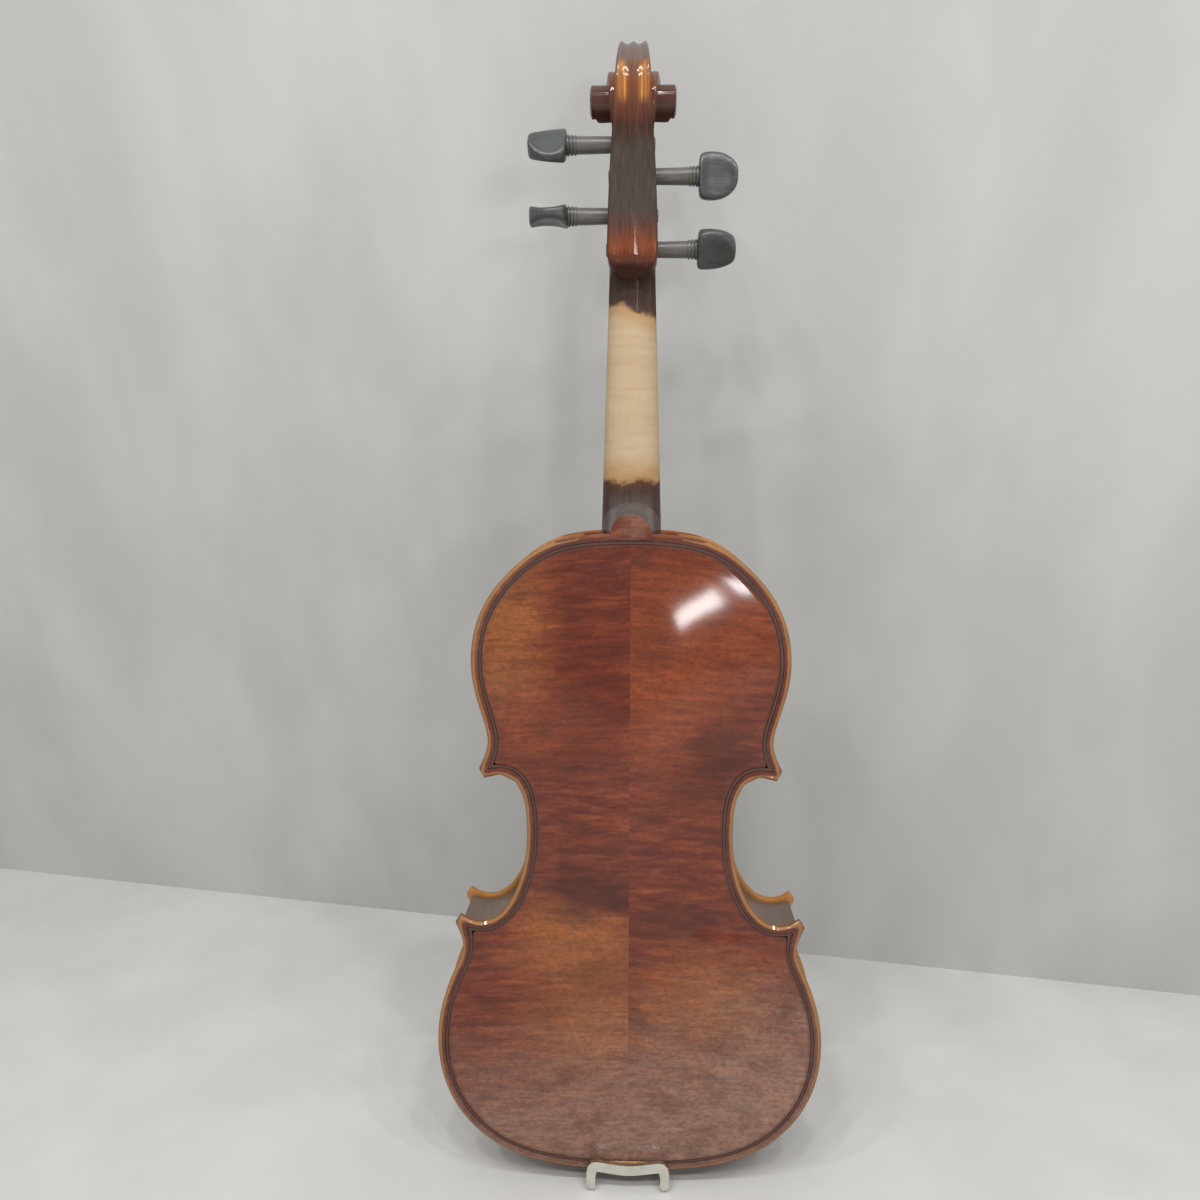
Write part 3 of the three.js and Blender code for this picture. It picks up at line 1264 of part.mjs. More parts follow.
const legBox = (side, low, high) => box(
  side * legX - half(legSize), side * legX + half(legSize), low, high,
  legZ - half(legSize), legZ + half(legSize));
const legs = () => [-1, 1].map((side) => legBox(side, legFoot, armY + half(armHeight) * 0.5));
add('chin_rest', joined(cup(), arm(), ...legs()), ebony);
for (const [name, side] of sides) {
  add(`chin_rest_cork_${name}`, legBox(side, edgeTop + fitGap, edgeTop + fitGap + corkThickness), cork);
}

// Clamp: bracket under the arm, two barrels, and the foot that grips the back
const clampRod = (side, low, high) => new THREE.CylinderGeometry(
  clampRodRadius, clampRodRadius, high - low, 10).translate(side * clampX, half(low + high), clampZ);
const barrelTop = barrelY + half(barrelLength);
const barrelBottom = barrelY - half(barrelLength);
const bracketBar = () => box(-clampX - half(bracketWidth), clampX + half(bracketWidth), bracketY,
  bracketY + bracketThickness, clampZ - half(bracketWidth), clampZ + half(bracketWidth) * 0.6);
const bracketTabs = () => [-1, 1].map((side) => box(
  side * legX - half(bracketWidth), side * legX + half(bracketWidth), bracketY,
  bracketY + bracketThickness, clampZ - half(bracketWidth), legZ - half(legSize) - fitGap));
const upperRods = () => [-1, 1].map((side) => clampRod(
  side, barrelTop - clampRodHold, bracketY + half(bracketThickness)));
add('clamp_bracket', joined(bracketBar(), ...bracketTabs(), ...upperRods()), nickel);
for (const [name, side] of sides) {
  const bore = clampRodRadius + fitGap;
  const tall = half(barrelLength);
  const barrel = turned([
    [bore, -tall], [barrelRadius * 0.85, -tall], [barrelRadius, -tall * 0.85], [barrelRadius, tall * 0.85],
    [barrelRadius * 0.85, tall], [bore, tall], [bore, -tall],
  ], 14);
  const mesh = add(`clamp_barrel_${name}`, barrel, nickel);
  mesh.position.set(side * clampX, barrelY, clampZ);
}
const footCorkTop = -edgeThickness - fitGap;
const footTop = footCorkTop - corkThickness - fitGap;
const footBow = (x) => footBarZ + footBarBow * Math.sin(half(Math.PI) * Math.abs(x) / half(footSpan)) ** 2;
const footRowShares = [0, 0.2, 0.4, 0.6, 0.76];
function footPlate() {
  const reach = half(footSpan);
  const low = clampZ - half(footArmWidth);
  const barEdge = (sign) => footRowShares.map((share) => (
    flat(share * reach, footBow(share * reach) + sign * half(footBarHeight))));
  const [upper, lower] = [barEdge(1), barEdge(-1)];
  const shoulder = upper[upper.length - 1];
  const outer = [
    flat(reach * 0.88, shoulder.y - footArmWidth * 0.12),
    flat(reach * 0.97, shoulder.y - footArmWidth * 0.6),
    flat(reach, shoulder.y - footArmWidth * 1.3), flat(reach, clampZ), flat(reach * 0.97, low),
    flat(reach - footArmWidth, low), flat(reach - footArmWidth, clampZ + footArmWidth),
  ];
  const right = [...upper, ...outer, ...[...lower].reverse()];
  const left = (points) => points.map((point) => flat(-point.x, point.y)).reverse();
  return [...right, ...left([...upper.slice(1), ...outer, ...[...lower.slice(1)].reverse()])];
}
const lowerRods = () => [-1, 1].map((side) => clampRod(
  side, footTop - half(footThickness), barrelBottom + clampRodHold));
add('clamp_foot', joined(slab(footPlate(), footTop - footThickness, footTop), ...lowerRods()), nickel);
add('clamp_foot_cork', box(
  -half(footSpan) * 0.7, half(footSpan) * 0.7, footCorkTop - corkThickness, footCorkTop,
  fitGap * 2, footBarZ + half(footBarHeight)), cork);

// Pickup disc under the top, and the output socket in the lower rib of the treble side
const discRim = circle(pickupRadius, 14, 0, pickupZ);
const discRoof = Math.min(...discRim.map((point) => insideTop(point.x, point.y)));
add('pickup_disc', slab(discRim, discRoof - fitGap - pickupThickness, discRoof - fitGap), nickel);
const ribAt = (z) => {
  const ring = halfRing(ribOuter);
  const i = ring.findIndex((point) => point.y > z);
  return blend(ring[i - 1].x, ring[i].x, (z - ring[i - 1].y) / (ring[i].y - ring[i - 1].y));
};
const socketReach = [-1, 0, 1].map((side) => ribAt(socketZ + side * socketNutRadius));
const socketSeat = Math.max(...socketReach) + fitGap;
const socketProfile = [
  [socketBoreRadius, 0], [socketBarrelRadius, 0], [socketBarrelRadius, socketBarrelLength],
  [0, socketBarrelLength], [0, socketBarrelLength * 0.9], [socketBoreRadius, socketBarrelLength * 0.9],
  [socketBoreRadius, 0],
];
const socketFace = -socketSeat - socketNutThickness;
const socket = turned(socketProfile, 14).rotateZ(-half(Math.PI)).translate(socketFace, socketY, socketZ);
add('socket_barrel', socket, ebony);
const nutShape = new THREE.Shape(circle(socketNutRadius, 6));
nutShape.holes.push(new THREE.Path(circle(socketBarrelRadius + fitGap, 14)));
const socketNut = new THREE.ExtrudeGeometry(nutShape, { depth: socketNutThickness, bevelEnabled: false })
  .rotateY(half(Math.PI)).translate(socketFace, socketY, socketZ);
add('socket_nut', socketNut, nickel);

violin.position.set(0, -buttonY, buttonLength);

export default violin;
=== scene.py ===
import json
import math

import bmesh
import bpy
from mathutils import Matrix, Vector, kdtree

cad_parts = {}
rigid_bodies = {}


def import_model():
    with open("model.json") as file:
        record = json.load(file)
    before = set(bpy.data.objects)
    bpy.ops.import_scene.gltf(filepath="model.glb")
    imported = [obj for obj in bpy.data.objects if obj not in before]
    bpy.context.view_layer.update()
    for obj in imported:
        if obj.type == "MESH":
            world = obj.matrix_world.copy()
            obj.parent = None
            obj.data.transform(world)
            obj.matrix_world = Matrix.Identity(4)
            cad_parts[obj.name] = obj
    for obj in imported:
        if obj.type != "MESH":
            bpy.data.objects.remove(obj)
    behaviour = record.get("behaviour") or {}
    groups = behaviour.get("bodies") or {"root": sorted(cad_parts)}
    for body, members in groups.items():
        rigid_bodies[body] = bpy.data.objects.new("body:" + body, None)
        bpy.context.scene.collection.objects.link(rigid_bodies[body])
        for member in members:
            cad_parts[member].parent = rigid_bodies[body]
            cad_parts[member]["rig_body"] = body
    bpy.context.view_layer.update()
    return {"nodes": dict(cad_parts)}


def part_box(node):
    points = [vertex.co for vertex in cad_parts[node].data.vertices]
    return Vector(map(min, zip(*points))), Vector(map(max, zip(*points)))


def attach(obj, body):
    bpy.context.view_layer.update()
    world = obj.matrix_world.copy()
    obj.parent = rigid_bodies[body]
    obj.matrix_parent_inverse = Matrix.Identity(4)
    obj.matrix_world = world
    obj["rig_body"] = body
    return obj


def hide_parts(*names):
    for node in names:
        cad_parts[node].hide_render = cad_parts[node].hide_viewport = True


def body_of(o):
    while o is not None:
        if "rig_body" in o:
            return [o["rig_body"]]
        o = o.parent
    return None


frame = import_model()

MM = 0.001
scene = bpy.context.scene

# The part's own places, in millimetres
SEAM_Y = -15.5
PLATES_Z = 9.5
BODY_LENGTH = 356
RIB_HEIGHT = 31
EDGE_THICKNESS = 4.4
EDGE_LOW = 0.32
BACK_ARCH = 14.5
TOP_ARCH = 15.5
BLEND_HEIGHT = 3.7
# Points nearer than this are one
TOGETHER = 0.01 * MM
# Edges of the plates and of the plain pieces that turn more than this stay sharp, in degrees
PLATE_SHARP = 38
PLAIN_SHARP = 34


# Camera, at the photograph's viewing angle
def make_camera():
    right = Vector((0.99929535, 0.0375291, 0.00060654))
    up = Vector((-0.00575017, 0.13710189, 0.99054026))
    back = Vector((0.03709093, -0.98984577, 0.13722108))
    data = bpy.data.cameras.new("camera")
    data.lens = 30
    data.sensor_width = 36
    data.clip_start = 0.01
    data.clip_end = 20
    camera = bpy.data.objects.new("camera", data)
    scene.collection.objects.link(camera)
    turn = Matrix((right, up, back)).transposed().to_4x4()
    camera.matrix_world = Matrix.Translation(Vector((3.388, -529.074, 401.869)) * MM) @ turn
    scene.camera = camera


make_camera()


# Helpers for numbers and colours
def blend(low, high, share):
    return low + (high - low) * share


def body_place(x, y, z):
    """A place given from the plates' seam and the lower edge of the body, in millimetres."""
    return Vector((x, y + SEAM_Y, z + PLATES_Z)) * MM


def linear(code):
    """An sRGB hex colour as linear red, green, blue and alpha."""
    channels = [int(code[i:i + 2], 16) / 255 for i in (1, 3, 5)]
    return tuple(c / 12.92 if c <= 0.04045 else ((c + 0.055) / 1.055) ** 2.4 for c in channels) + (1,)


def through(rows, steps):
    """Rows of numbers with smooth steps added between them."""
    made = []
    for i in range(len(rows) - 1):
        before, here, there, after = (rows[min(max(i + k, 0), len(rows) - 1)] for k in (-1, 0, 1, 2))
        for step in range(steps):
            t = step / steps
            made.append([
                0.5 * (2 * b + (c - a) * t + (2 * a - 5 * b + 4 * c - d) * t ** 2
                       + (3 * b - a - 3 * c + d) * t ** 3)
                for a, b, c, d in zip(before, here, there, after)])
    return made + [list(rows[-1])]


def smoothstep(low, high, value):
    share = min(max((value - low) / (high - low), 0), 1)
    return share * share * (3 - 2 * share)


# Helpers for materials
SMOOTH = {"interpolation_type": "SMOOTHSTEP"}
COLOUR = {"data_type": "RGBA"}


def output_of(node):
    return next(output for output in node.outputs if output.enabled)


def add(tree, kind, inputs=None, stops=None, sizes=None, **settings):
    """Adds a node with its settings, sets its sockets, and links those that are given a node or an output.

    Colours are given as hex codes. Sizes in millimetres stretch the pattern that the node draws.
    """
    node = tree.nodes.new(f"ShaderNode{kind}")
    for name, value in settings.items():
        setattr(node, name, value)
    inputs = dict(inputs or {})
    if sizes:
        scale = [1 / size for size in sizes]
        inputs["Vector"] = add(tree, "Mapping", {"Vector": inputs["Vector"], "Scale": scale})
        inputs["Scale"] = 1
    for name, value in inputs.items():
        if isinstance(value, str):
            value = linear(value)
        if isinstance(value, bpy.types.Node):
            value = output_of(value)
        if isinstance(value, bpy.types.NodeSocket):
            tree.links.new(value, node.inputs[name])
        else:
            node.inputs[name].default_value = value
    if stops:
        ramp = node.color_ramp
        while len(ramp.elements) < len(stops):
            ramp.elements.new(1)
        for element, (place, tone) in zip(ramp.elements, stops):
            element.position = place
            element.color = linear(tone)
    return node


def layered(tree, colour, *layers):
    """Lays tones over a colour, each where its pattern runs from one value to another, up to a share."""
    for pattern, start, end, share, tone in layers:
        weight = add(tree, "MapRange", {0: pattern, 1: start, 2: end, 3: 0, 4: share}, **SMOOTH)
        colour = add(tree, "Mix", {0: weight, 6: colour, 7: tone}, **COLOUR)
    return colour


def finish_of(name, **sockets):
    """A new material with a Principled shader; returns it, its tree and its millimetre grid."""
    made = bpy.data.materials.new(name)
    made.use_nodes = True
    tree = made.node_tree
    tree.nodes.clear()
    shader = add(tree, "BsdfPrincipled", sockets)
    add(tree, "OutputMaterial", {"Surface": shader})
    where = add(tree, "TexCoord")
    grid = add(tree, "VectorMath", {0: where.outputs["Object"], "Scale": 1000}, operation="SCALE")
    return made, tree, grid


def finished(made, colour, height, depth, strength=1.0, **linked):
    """Links a material's colour, its bump of the given depth in millimetres, and its other linked sockets."""
    tree = made.node_tree
    shader = tree.nodes["Principled BSDF"]
    bump = add(tree, "Bump", {"Height": height, "Distance": depth * MM, "Strength": strength})
    for name, node in {"Normal": bump, "Base Color": colour, **linked}.items():
        tree.links.new(output_of(node), shader.inputs[name])
    return made


# Spirit varnish, brushed on in thin coats and rubbed down: the wood's colour comes up through a clear,
# slightly uneven gloss, so only the coat shines
VARNISH = {
    "Roughness": 0.5, "IOR": 1.5, "Specular IOR Level": 0.0,
    "Coat Weight": 0.75, "Coat Roughness": 0.1, "Coat IOR": 1.5,
}
VARNISH_RED = "#5A2417"
VARNISH_ORANGE = "#8A4626"
VARNISH_GOLD = "#965C34"
VARNISH_DARK = "#42201A"
# Greyish: dull varnish, and the painted haze of the pale floor reflected low on the back
VARNISH_DULL_AND_HAZE = "#93766A"

# Where the varnish of the back is thick, thin or rubbed
BACK_TONES = [
    # x, z, reach across, reach up, side, tone, share
    (22, 302, 44, 92, 1, VARNISH_ORANGE, 0.62),
    (74, 320, 30, 44, 0, VARNISH_ORANGE, 0.4),
    (-70, 314, 38, 54, 0, VARNISH_GOLD, 0.78),
    (-46, 266, 34, 34, -1, VARNISH_ORANGE, 0.5),
    (-22, 290, 34, 70, -1, VARNISH_RED, 0.5),
    (46, 246, 30, 26, 0, VARNISH_DARK, 0.7),
    (8, 352, 54, 16, 0, VARNISH_DARK, 0.35),
    (-30, 146, 50, 30, -1, VARNISH_GOLD, 0.75),
    (-20, 96, 44, 46, -1, VARNISH_GOLD, 0.65),
    (-18, 176, 46, 15, -1, VARNISH_DARK, 0.8),
    (30, 162, 36, 15, 1, VARNISH_DARK, 0.65),
    (40, 112, 50, 42, 1, VARNISH_GOLD, 0.6),
    (84, 96, 20, 40, 0, VARNISH_DARK, 0.3),
    (0, 374, 14, 12, 0, VARNISH_DULL_AND_HAZE, 0.4),
]


def back_boards():
    """Two matched boards of flamed maple: soft bars across each board, which end at the seam."""
    coated, tree, grid = finish_of("maple_varnished_back", **VARNISH)
    parts = add(tree, "SeparateXYZ", {"Vector": grid}).outputs
    away = add(tree, "Math", {0: parts["X"]}, operation="ABSOLUTE")
    lean = add(tree, "Math", {0: away, 1: 0.09, 2: parts["Z"]}, operation="MULTIPLY_ADD")
    board = add(tree, "Math", {0: parts["X"]}, operation="SIGN")
    apart = add(tree, "Math", {0: board, 1: 70, 2: parts["Y"]}, operation="MULTIPLY_ADD")
    booked = add(tree, "CombineXYZ", {"X": parts["X"], "Y": apart, "Z": lean})
    bars, lines, clouds = (
        add(tree, "TexNoise", {"Vector": booked, "Detail": 3, "Roughness": rough, "Distortion": bend},
            sizes=sizes)
        for sizes, rough, bend in (
            ((22, 22, 3.4), 0.6, 0.3), ((13, 13, 1.3), 0.65, 0.2), ((26, 26, 18), 0.6, 0)))
    brush, specks, uneven, ripple = (
        add(tree, "TexNoise", {"Vector": grid, "Detail": detail, "Roughness": rough}, sizes=sizes)
        for sizes, detail, rough in (
            ((30, 30, 9), 3, 0.6), ((3, 3, 2), 4, 0.75), ((5, 5, 5), 2, 0.5), ((6, 6, 3), 2, 0.5)))
    wood = add(tree, "ValToRGB", {"Fac": bars}, stops=[
        (0.3, "#5A2719"), (0.46, "#683022"), (0.6, "#743A26"), (0.75, "#82482D")])
    # Brush marks move the edges of the thick and thin places about
    push = add(tree, "VectorMath", {0: brush.outputs["Color"], 1: (0.5, 0.5, 0.5)}, operation="SUBTRACT")
    moved = add(tree, "VectorMath", {0: push, 1: (40, 0, 26), 2: grid}, operation="MULTIPLY_ADD")
    halves = {side: add(tree, "Math", {0: parts["X"], 1: 0}, operation=test)
              for side, test in ((1, "GREATER_THAN"), (-1, "LESS_THAN"))}
    for x, z, reach_x, reach_z, side, tone, share in BACK_TONES:
        spot = add(tree, "Mapping", {
            "Vector": moved, "Scale": (1 / reach_x, 0, 1 / reach_z),
            "Location": (-x / reach_x, 0, -z / reach_z)})
        far = add(tree, "VectorMath", {0: spot}, operation="LENGTH")
        weight = add(tree, "MapRange", {0: far, 1: 1.15, 2: 0.25, 3: 0, 4: share}, **SMOOTH)
        if side:
            weight = add(tree, "Math", {0: weight, 1: halves[side]}, operation="MULTIPLY")
        wood = add(tree, "Mix", {0: weight, 6: wood, 7: tone}, **COLOUR)
    # Low on the back the coat is dull, and a milky tone is painted in: a painted reflection of the pale floor
    slope = add(tree, "Math", {0: parts["X"], 1: -0.28, 2: parts["Z"]}, operation="MULTIPLY_ADD")
    dull_coat_and_floor_haze = add(tree, "Math", {0: brush, 1: 60, 2: slope}, operation="MULTIPLY_ADD")
    dull_coat_and_floor_haze = add(tree, "MapRange", {0: dull_coat_and_floor_haze, 1: 168, 2: 54, 3: 0, 4: 0.95}, **SMOOTH)
    wood = add(tree, "Mix", {0: dull_coat_and_floor_haze, 6: wood, 7: VARNISH_DULL_AND_HAZE}, **COLOUR)
    gloss = add(tree, "MapRange", {0: dull_coat_and_floor_haze, 1: 0, 2: 0.95, 3: 0.78, 4: 0.3})
    light = add(tree, "MapRange", {0: bars, 1: 0.35, 2: 0.68, 3: 0, 4: 0.3}, **SMOOTH)
    wood = add(tree, "Mix", {0: light, 6: wood, 7: "#FFE2C0"}, blend_type="SOFT_LIGHT", **COLOUR)
    # The channel inside the edge holds thick varnish, and the edge itself is rubbed to golden wood
    rim = add(tree, "Attribute", attribute_name="rim").outputs["Fac"]
    rim = add(tree, "Math", {0: uneven, 1: 0.9, 2: rim}, operation="MULTIPLY_ADD")
    wood = layered(tree, wood, (lines, 0.58, 0.34, 0.24, "#3A1B15"), (clouds, 0.52, 0.32, 0.3, "#3C1D18"),
                   (specks, 0.6, 0.36, 0.34, "#45211A"), (rim, 8.6, 6.0, 0.5, "#4E3029"))
    low = add(tree, "MapRange", {0: parts["Z"], 1: 30, 2: 90, 3: 0.35, 4: 0.92}, **SMOOTH)
    worn = add(tree, "MapRange", {0: rim, 1: 2.9, 2: 1.9}, **SMOOTH)
    worn = add(tree, "Math", {0: worn, 1: low}, operation="MULTIPLY")
    gold = add(tree, "Mix", {0: clouds, 6: "#8A5C38", 7: "#AC7C4C"}, **COLOUR)
    wood = add(tree, "Mix", {0: worn, 6: wood, 7: gold}, **COLOUR)
    wood = layered(tree, wood, (rim, 0.95, 0.5, 0.6, "#4B2C20"))
    return finished(coated, wood, ripple, 0.03, 0.5, **{"Coat Weight": gloss})


def rib_strips():
    """Maple strips bent round the body: flames from plate to plate, greyed where they look up by dust and by
    a painted reflection of the bright room.
    """
    coated, tree, grid = finish_of("maple_varnished_ribs", **VARNISH)
    bars = add(tree, "TexNoise", {"Vector": grid, "Detail": 3, "Roughness": 0.6, "Distortion": 0.3},
               sizes=(4.6, 40, 4.6))
    clouds = add(tree, "TexNoise", {"Vector": grid, "Detail": 3}, sizes=(24, 24, 24))
    wood = add(tree, "ValToRGB", {"Fac": bars}, stops=[(0.3, "#4E2419"), (0.5, "#683423"), (0.7, "#82492C")])
    # Where the strips look up: dust, and a painted grey sheen of the room's light reflected there
    facing = add(tree, "NewGeometry").outputs["Normal"]
    up = add(tree, "SeparateXYZ", {"Vector": facing}).outputs["Z"]
    wood = layered(tree, wood, (clouds, 0.55, 0.35, 0.4, "#3C211B"), (up, 0.1, 0.8, 0.75, "#6E645B"))
    return finished(coated, wood, clouds, 0.03, 0.5)


BARE_LOW = 391
BARE_HIGH = 478
FLUTE_X = 5.2
NECK_TONES_AND_SHEEN = [
    # z, tone of the varnish; the grey-brown tones at the heel, the pegbox's middle and the scroll's crest are
    # a painted sheen of reflected light
    (360, "#6C6563"), (376, "#625A58"), (386, "#4A3A33"), (392, "#5E3D27"), (468, "#6E4426"),
    (480, "#4E3F3A"), (492, "#443631"), (497, "#412C27"), (503, "#663424"), (507, "#7E432A"),
    (511, "#74432F"), (518, "#584038"), (526, "#4A433F"), (550, "#47413D"), (562, "#452F29"),
    (572, "#5E3626"), (581, "#744329"), (589, "#74503C"), (595, "#685852"), (606, "#655A55"),
]


def neck_maple():
    """Maple varnished at both ends, greyed at the heel, the pegbox and the scroll's crest by a painted sheen
    of reflected light, and bare where the hand slides.
    """
    coated, tree, grid = finish_of("maple_neck_part_varnished", **{**VARNISH, "Coat Roughness": 0.08})
    parts = add(tree, "SeparateXYZ", {"Vector": grid}).outputs
    height = parts["Z"]
    bars = add(tree, "TexNoise", {"Vector": grid, "Detail": 2.5, "Roughness": 0.55, "Distortion": 0.3},
               sizes=(26, 26, 4.4))
    streaks, clouds, edge = (
        add(tree, "TexNoise", {"Vector": grid, "Detail": detail, "Roughness": 0.6}, sizes=sizes)
        for sizes, detail in (((1.1, 1.1, 44), 3), ((9, 9, 7), 3), ((9, 9, 7), 2)))
    bare = add(tree, "ValToRGB", {"Fac": bars}, stops=[(0.3, "#B59D7F"), (0.5, "#BBA487"), (0.7, "#C0AA8D")])
    bare = layered(tree, bare, (streaks, 0.55, 0.75, 0.2, "#A9865A"))
    drift = add(tree, "Math", {0: clouds, 1: 8, 2: height}, operation="MULTIPLY_ADD")
    low, high = NECK_TONES_AND_SHEEN[0][0], NECK_TONES_AND_SHEEN[-1][0]
    along = add(tree, "MapRange", {0: drift, 1: low + 4, 2: high + 4})
    brown = add(tree, "ValToRGB", {"Fac": along}, stops=[
        ((z - low) / (high - low), tone) for z, tone in NECK_TONES_AND_SHEEN])
    # Straight grain shows as fine lighter and darker lines up the neck, and the scroll's eye is darker
    off = add(tree, "Math", {0: parts["X"]}, operation="ABSOLUTE")
    brown = layered(tree, brown, (streaks, 0.5, 0.72, 0.16, "#8A6A54"), (streaks, 0.5, 0.3, 0.25, "#2E1D19"),
                    (off, 10.5, 13, 0.85, "#4A302B"))
    # Under the scroll, golden streaks are painted where the flutes turn: a painted glow of light caught in
    # the glossy hollows
    flute = add(tree, "Math", {0: off, 1: FLUTE_X}, operation="SUBTRACT")
    flute = add(tree, "Math", {0: flute}, operation="ABSOLUTE")
    glow, fall, between, glow_streaks = (
        add(tree, "MapRange", {0: pattern, 1: start, 2: end, 3: least, 4: most}, **SMOOTH)
        for pattern, start, end, least, most in (
            (height, 571, 578, 0, 1), (height, 595, 588, 0, 0.9),
            (flute, 3.2, 0.8, 0, 1), (streaks, 0.4, 0.6, 0.35, 1)))
    for factor in (fall, between, glow_streaks):
        glow = add(tree, "Math", {0: glow, 1: factor}, operation="MULTIPLY")
    brown = add(tree, "Mix", {0: glow, 6: brown, 7: "#CC8A44"}, **COLOUR)
    # The varnish ends in a ragged line at each end of the bare wood
    ragged = add(tree, "Math", {0: edge, 1: 10, 2: height}, operation="MULTIPLY_ADD")
    slanted = add(tree, "Math", {0: parts["X"], 1: 0.32, 2: ragged}, operation="MULTIPLY_ADD")
    upper, lower, above, below = (
        add(tree, "MapRange", {0: line, 1: start, 2: end, 3: 0, 4: share}, **SMOOTH)
        for line, start, end, share in (
            (slanted, BARE_HIGH + 4, BARE_HIGH + 8, 1), (ragged, BARE_LOW + 8, BARE_LOW + 4, 1),
            (slanted, BARE_HIGH - 6, BARE_HIGH + 6, 0.5), (ragged, BARE_LOW + 20, BARE_LOW + 8, 0.5)))
    varnish = add(tree, "Math", {0: upper, 1: lower}, operation="MAXIMUM")
    stain = add(tree, "Math", {0: above, 1: below}, operation="MAXIMUM")
    bare = add(tree, "Mix", {0: stain, 6: bare, 7: "#AC7A3C"}, **COLOUR)
    wood = add(tree, "Mix", {0: varnish, 6: bare, 7: brown}, **COLOUR)
    # Hands dull the varnish all along, but for the chin, the scroll and, less, the heel
    facing = add(tree, "NewGeometry").outputs["Normal"]
    facing = add(tree, "SeparateXYZ", {"Vector": facing}).outputs["Z"]
    under, chin, throat, heel, scroll = (
        add(tree, "MapRange", {0: pattern, 1: start, 2: end, 3: least, 4: most}, **SMOOTH)
        for pattern, start, end, least, most in (
            (facing, -0.85, -0.35, 0.15, 1), (height, 514, 506, 0.12, 0.5), (height, 494, 500, 0.1, 1),
            (height, 430, 400, 0, 0.5), (height, 562, 574, 0, 1)))
    kept = add(tree, "Math", {0: chin, 1: throat}, operation="MULTIPLY")
    for other, way in ((heel, "MAXIMUM"), (scroll, "MAXIMUM"), (under, "MULTIPLY"), (varnish, "MULTIPLY")):
        kept = add(tree, "Math", {0: kept, 1: other}, operation=way)
    gloss = add(tree, "MapRange", {0: kept, 3: 0.02, 4: 0.8})
    return finished(coated, wood, varnish, 0.1, **{"Coat Weight": gloss})


def top_boards():
    """Straight-grained spruce under golden-brown varnish: fine dark winter lines along the body."""
    coated, tree, grid = finish_of("spruce_varnished", **VARNISH)
    parts = add(tree, "SeparateXYZ", {"Vector": grid}).outputs
    bend = add(tree, "TexNoise", {"Vector": grid, "Detail": 1}, sizes=(60, 60, 160))
    line = add(tree, "Math", {0: bend, 1: 7, 2: parts["X"]}, operation="MULTIPLY_ADD")
    rings_at = add(tree, "CombineXYZ", {"X": line})
    # Year rings about 1.3 mm apart
    rings = add(tree, "TexWave", {
        "Vector": rings_at, "Scale": 0.24, "Distortion": 1.2, "Detail": 2, "Detail Scale": 0.6},
        bands_direction="X", wave_profile="SAW").outputs["Fac"]
    clouds = add(tree, "TexNoise", {"Vector": grid, "Detail": 2.5}, sizes=(40, 40, 60))
    wood = add(tree, "ValToRGB", {"Fac": rings}, stops=[
        (0.0, "#A86733"), (0.7, "#955429"), (0.93, "#66341C"), (1.0, "#824625")])
    rim = add(tree, "Attribute", attribute_name="rim").outputs["Fac"]
    wood = layered(tree, wood, (clouds, 0.7, 0.35, 0.35, "#5E3020"), (rim, 9.6, 6.0, 0.5, "#54301F"),
                   (rim, 3.0, 2.0, 0.85, "#A8743E"))
    return finished(coated, wood, clouds, 0.03, 0.6)


def plain_wood(name, light, mid, dark, sizes, roughness):
    """Wood without stripes: long pores and streaks of the given sizes in millimetres."""
    bare, tree, grid = finish_of(name, IOR=1.5)
    pores = add(tree, "TexNoise", {"Vector": grid, "Detail": 4, "Roughness": 0.65}, sizes=sizes)
    clouds = add(tree, "TexNoise", {"Vector": grid, "Detail": 2}, sizes=[9 * size for size in sizes])
    tone = add(tree, "ValToRGB", {"Fac": pores}, stops=[(0.32, dark), (0.5, mid), (0.68, light)])
    tone = layered(tree, tone, (clouds, 0.65, 0.35, 0.3, dark))
    rough = add(tree, "MapRange", {
        0: pores, 1: 0.3, 2: 0.7, 3: roughness + 0.08, 4: roughness - 0.06}, **SMOOTH)
    return finished(bare, tone, pores, 0.03, Roughness=rough)


def peg_wood():
    """Waxed ebony with lighter grey heads, worn by fingers and given a painted sheen of reflected light, and
    browner on the shafts, where chalk sits in the pores.
    """
    waxed, tree, grid = finish_of("ebony_waxed_pegs", IOR=1.5)
    pores = add(tree, "TexNoise", {"Vector": grid, "Detail": 4, "Roughness": 0.65}, sizes=(9, 0.5, 0.5))
    heads_worn_and_sheen, shafts = (
        add(tree, "ValToRGB", {"Fac": pores}, stops=list(zip((0.32, 0.5, 0.68), tones)))
        for tones in (("#323433", "#424443", "#545655"), ("#494541", "#5B5752", "#6A655F")))
    parts = add(tree, "SeparateXYZ", {"Vector": grid}).outputs
    out = add(tree, "Math", {0: parts["X"]}, operation="ABSOLUTE")
    head = add(tree, "MapRange", {0: out, 1: 28, 2: 33}, **SMOOTH)
    colour = add(tree, "Mix", {0: head, 6: shafts, 7: heads_worn_and_sheen}, **COLOUR)
    rough = add(tree, "MapRange", {0: pores, 1: 0.3, 2: 0.7, 3: 0.42, 4: 0.3}, **SMOOTH)
    return finished(waxed, colour, pores, 0.02, Roughness=rough)


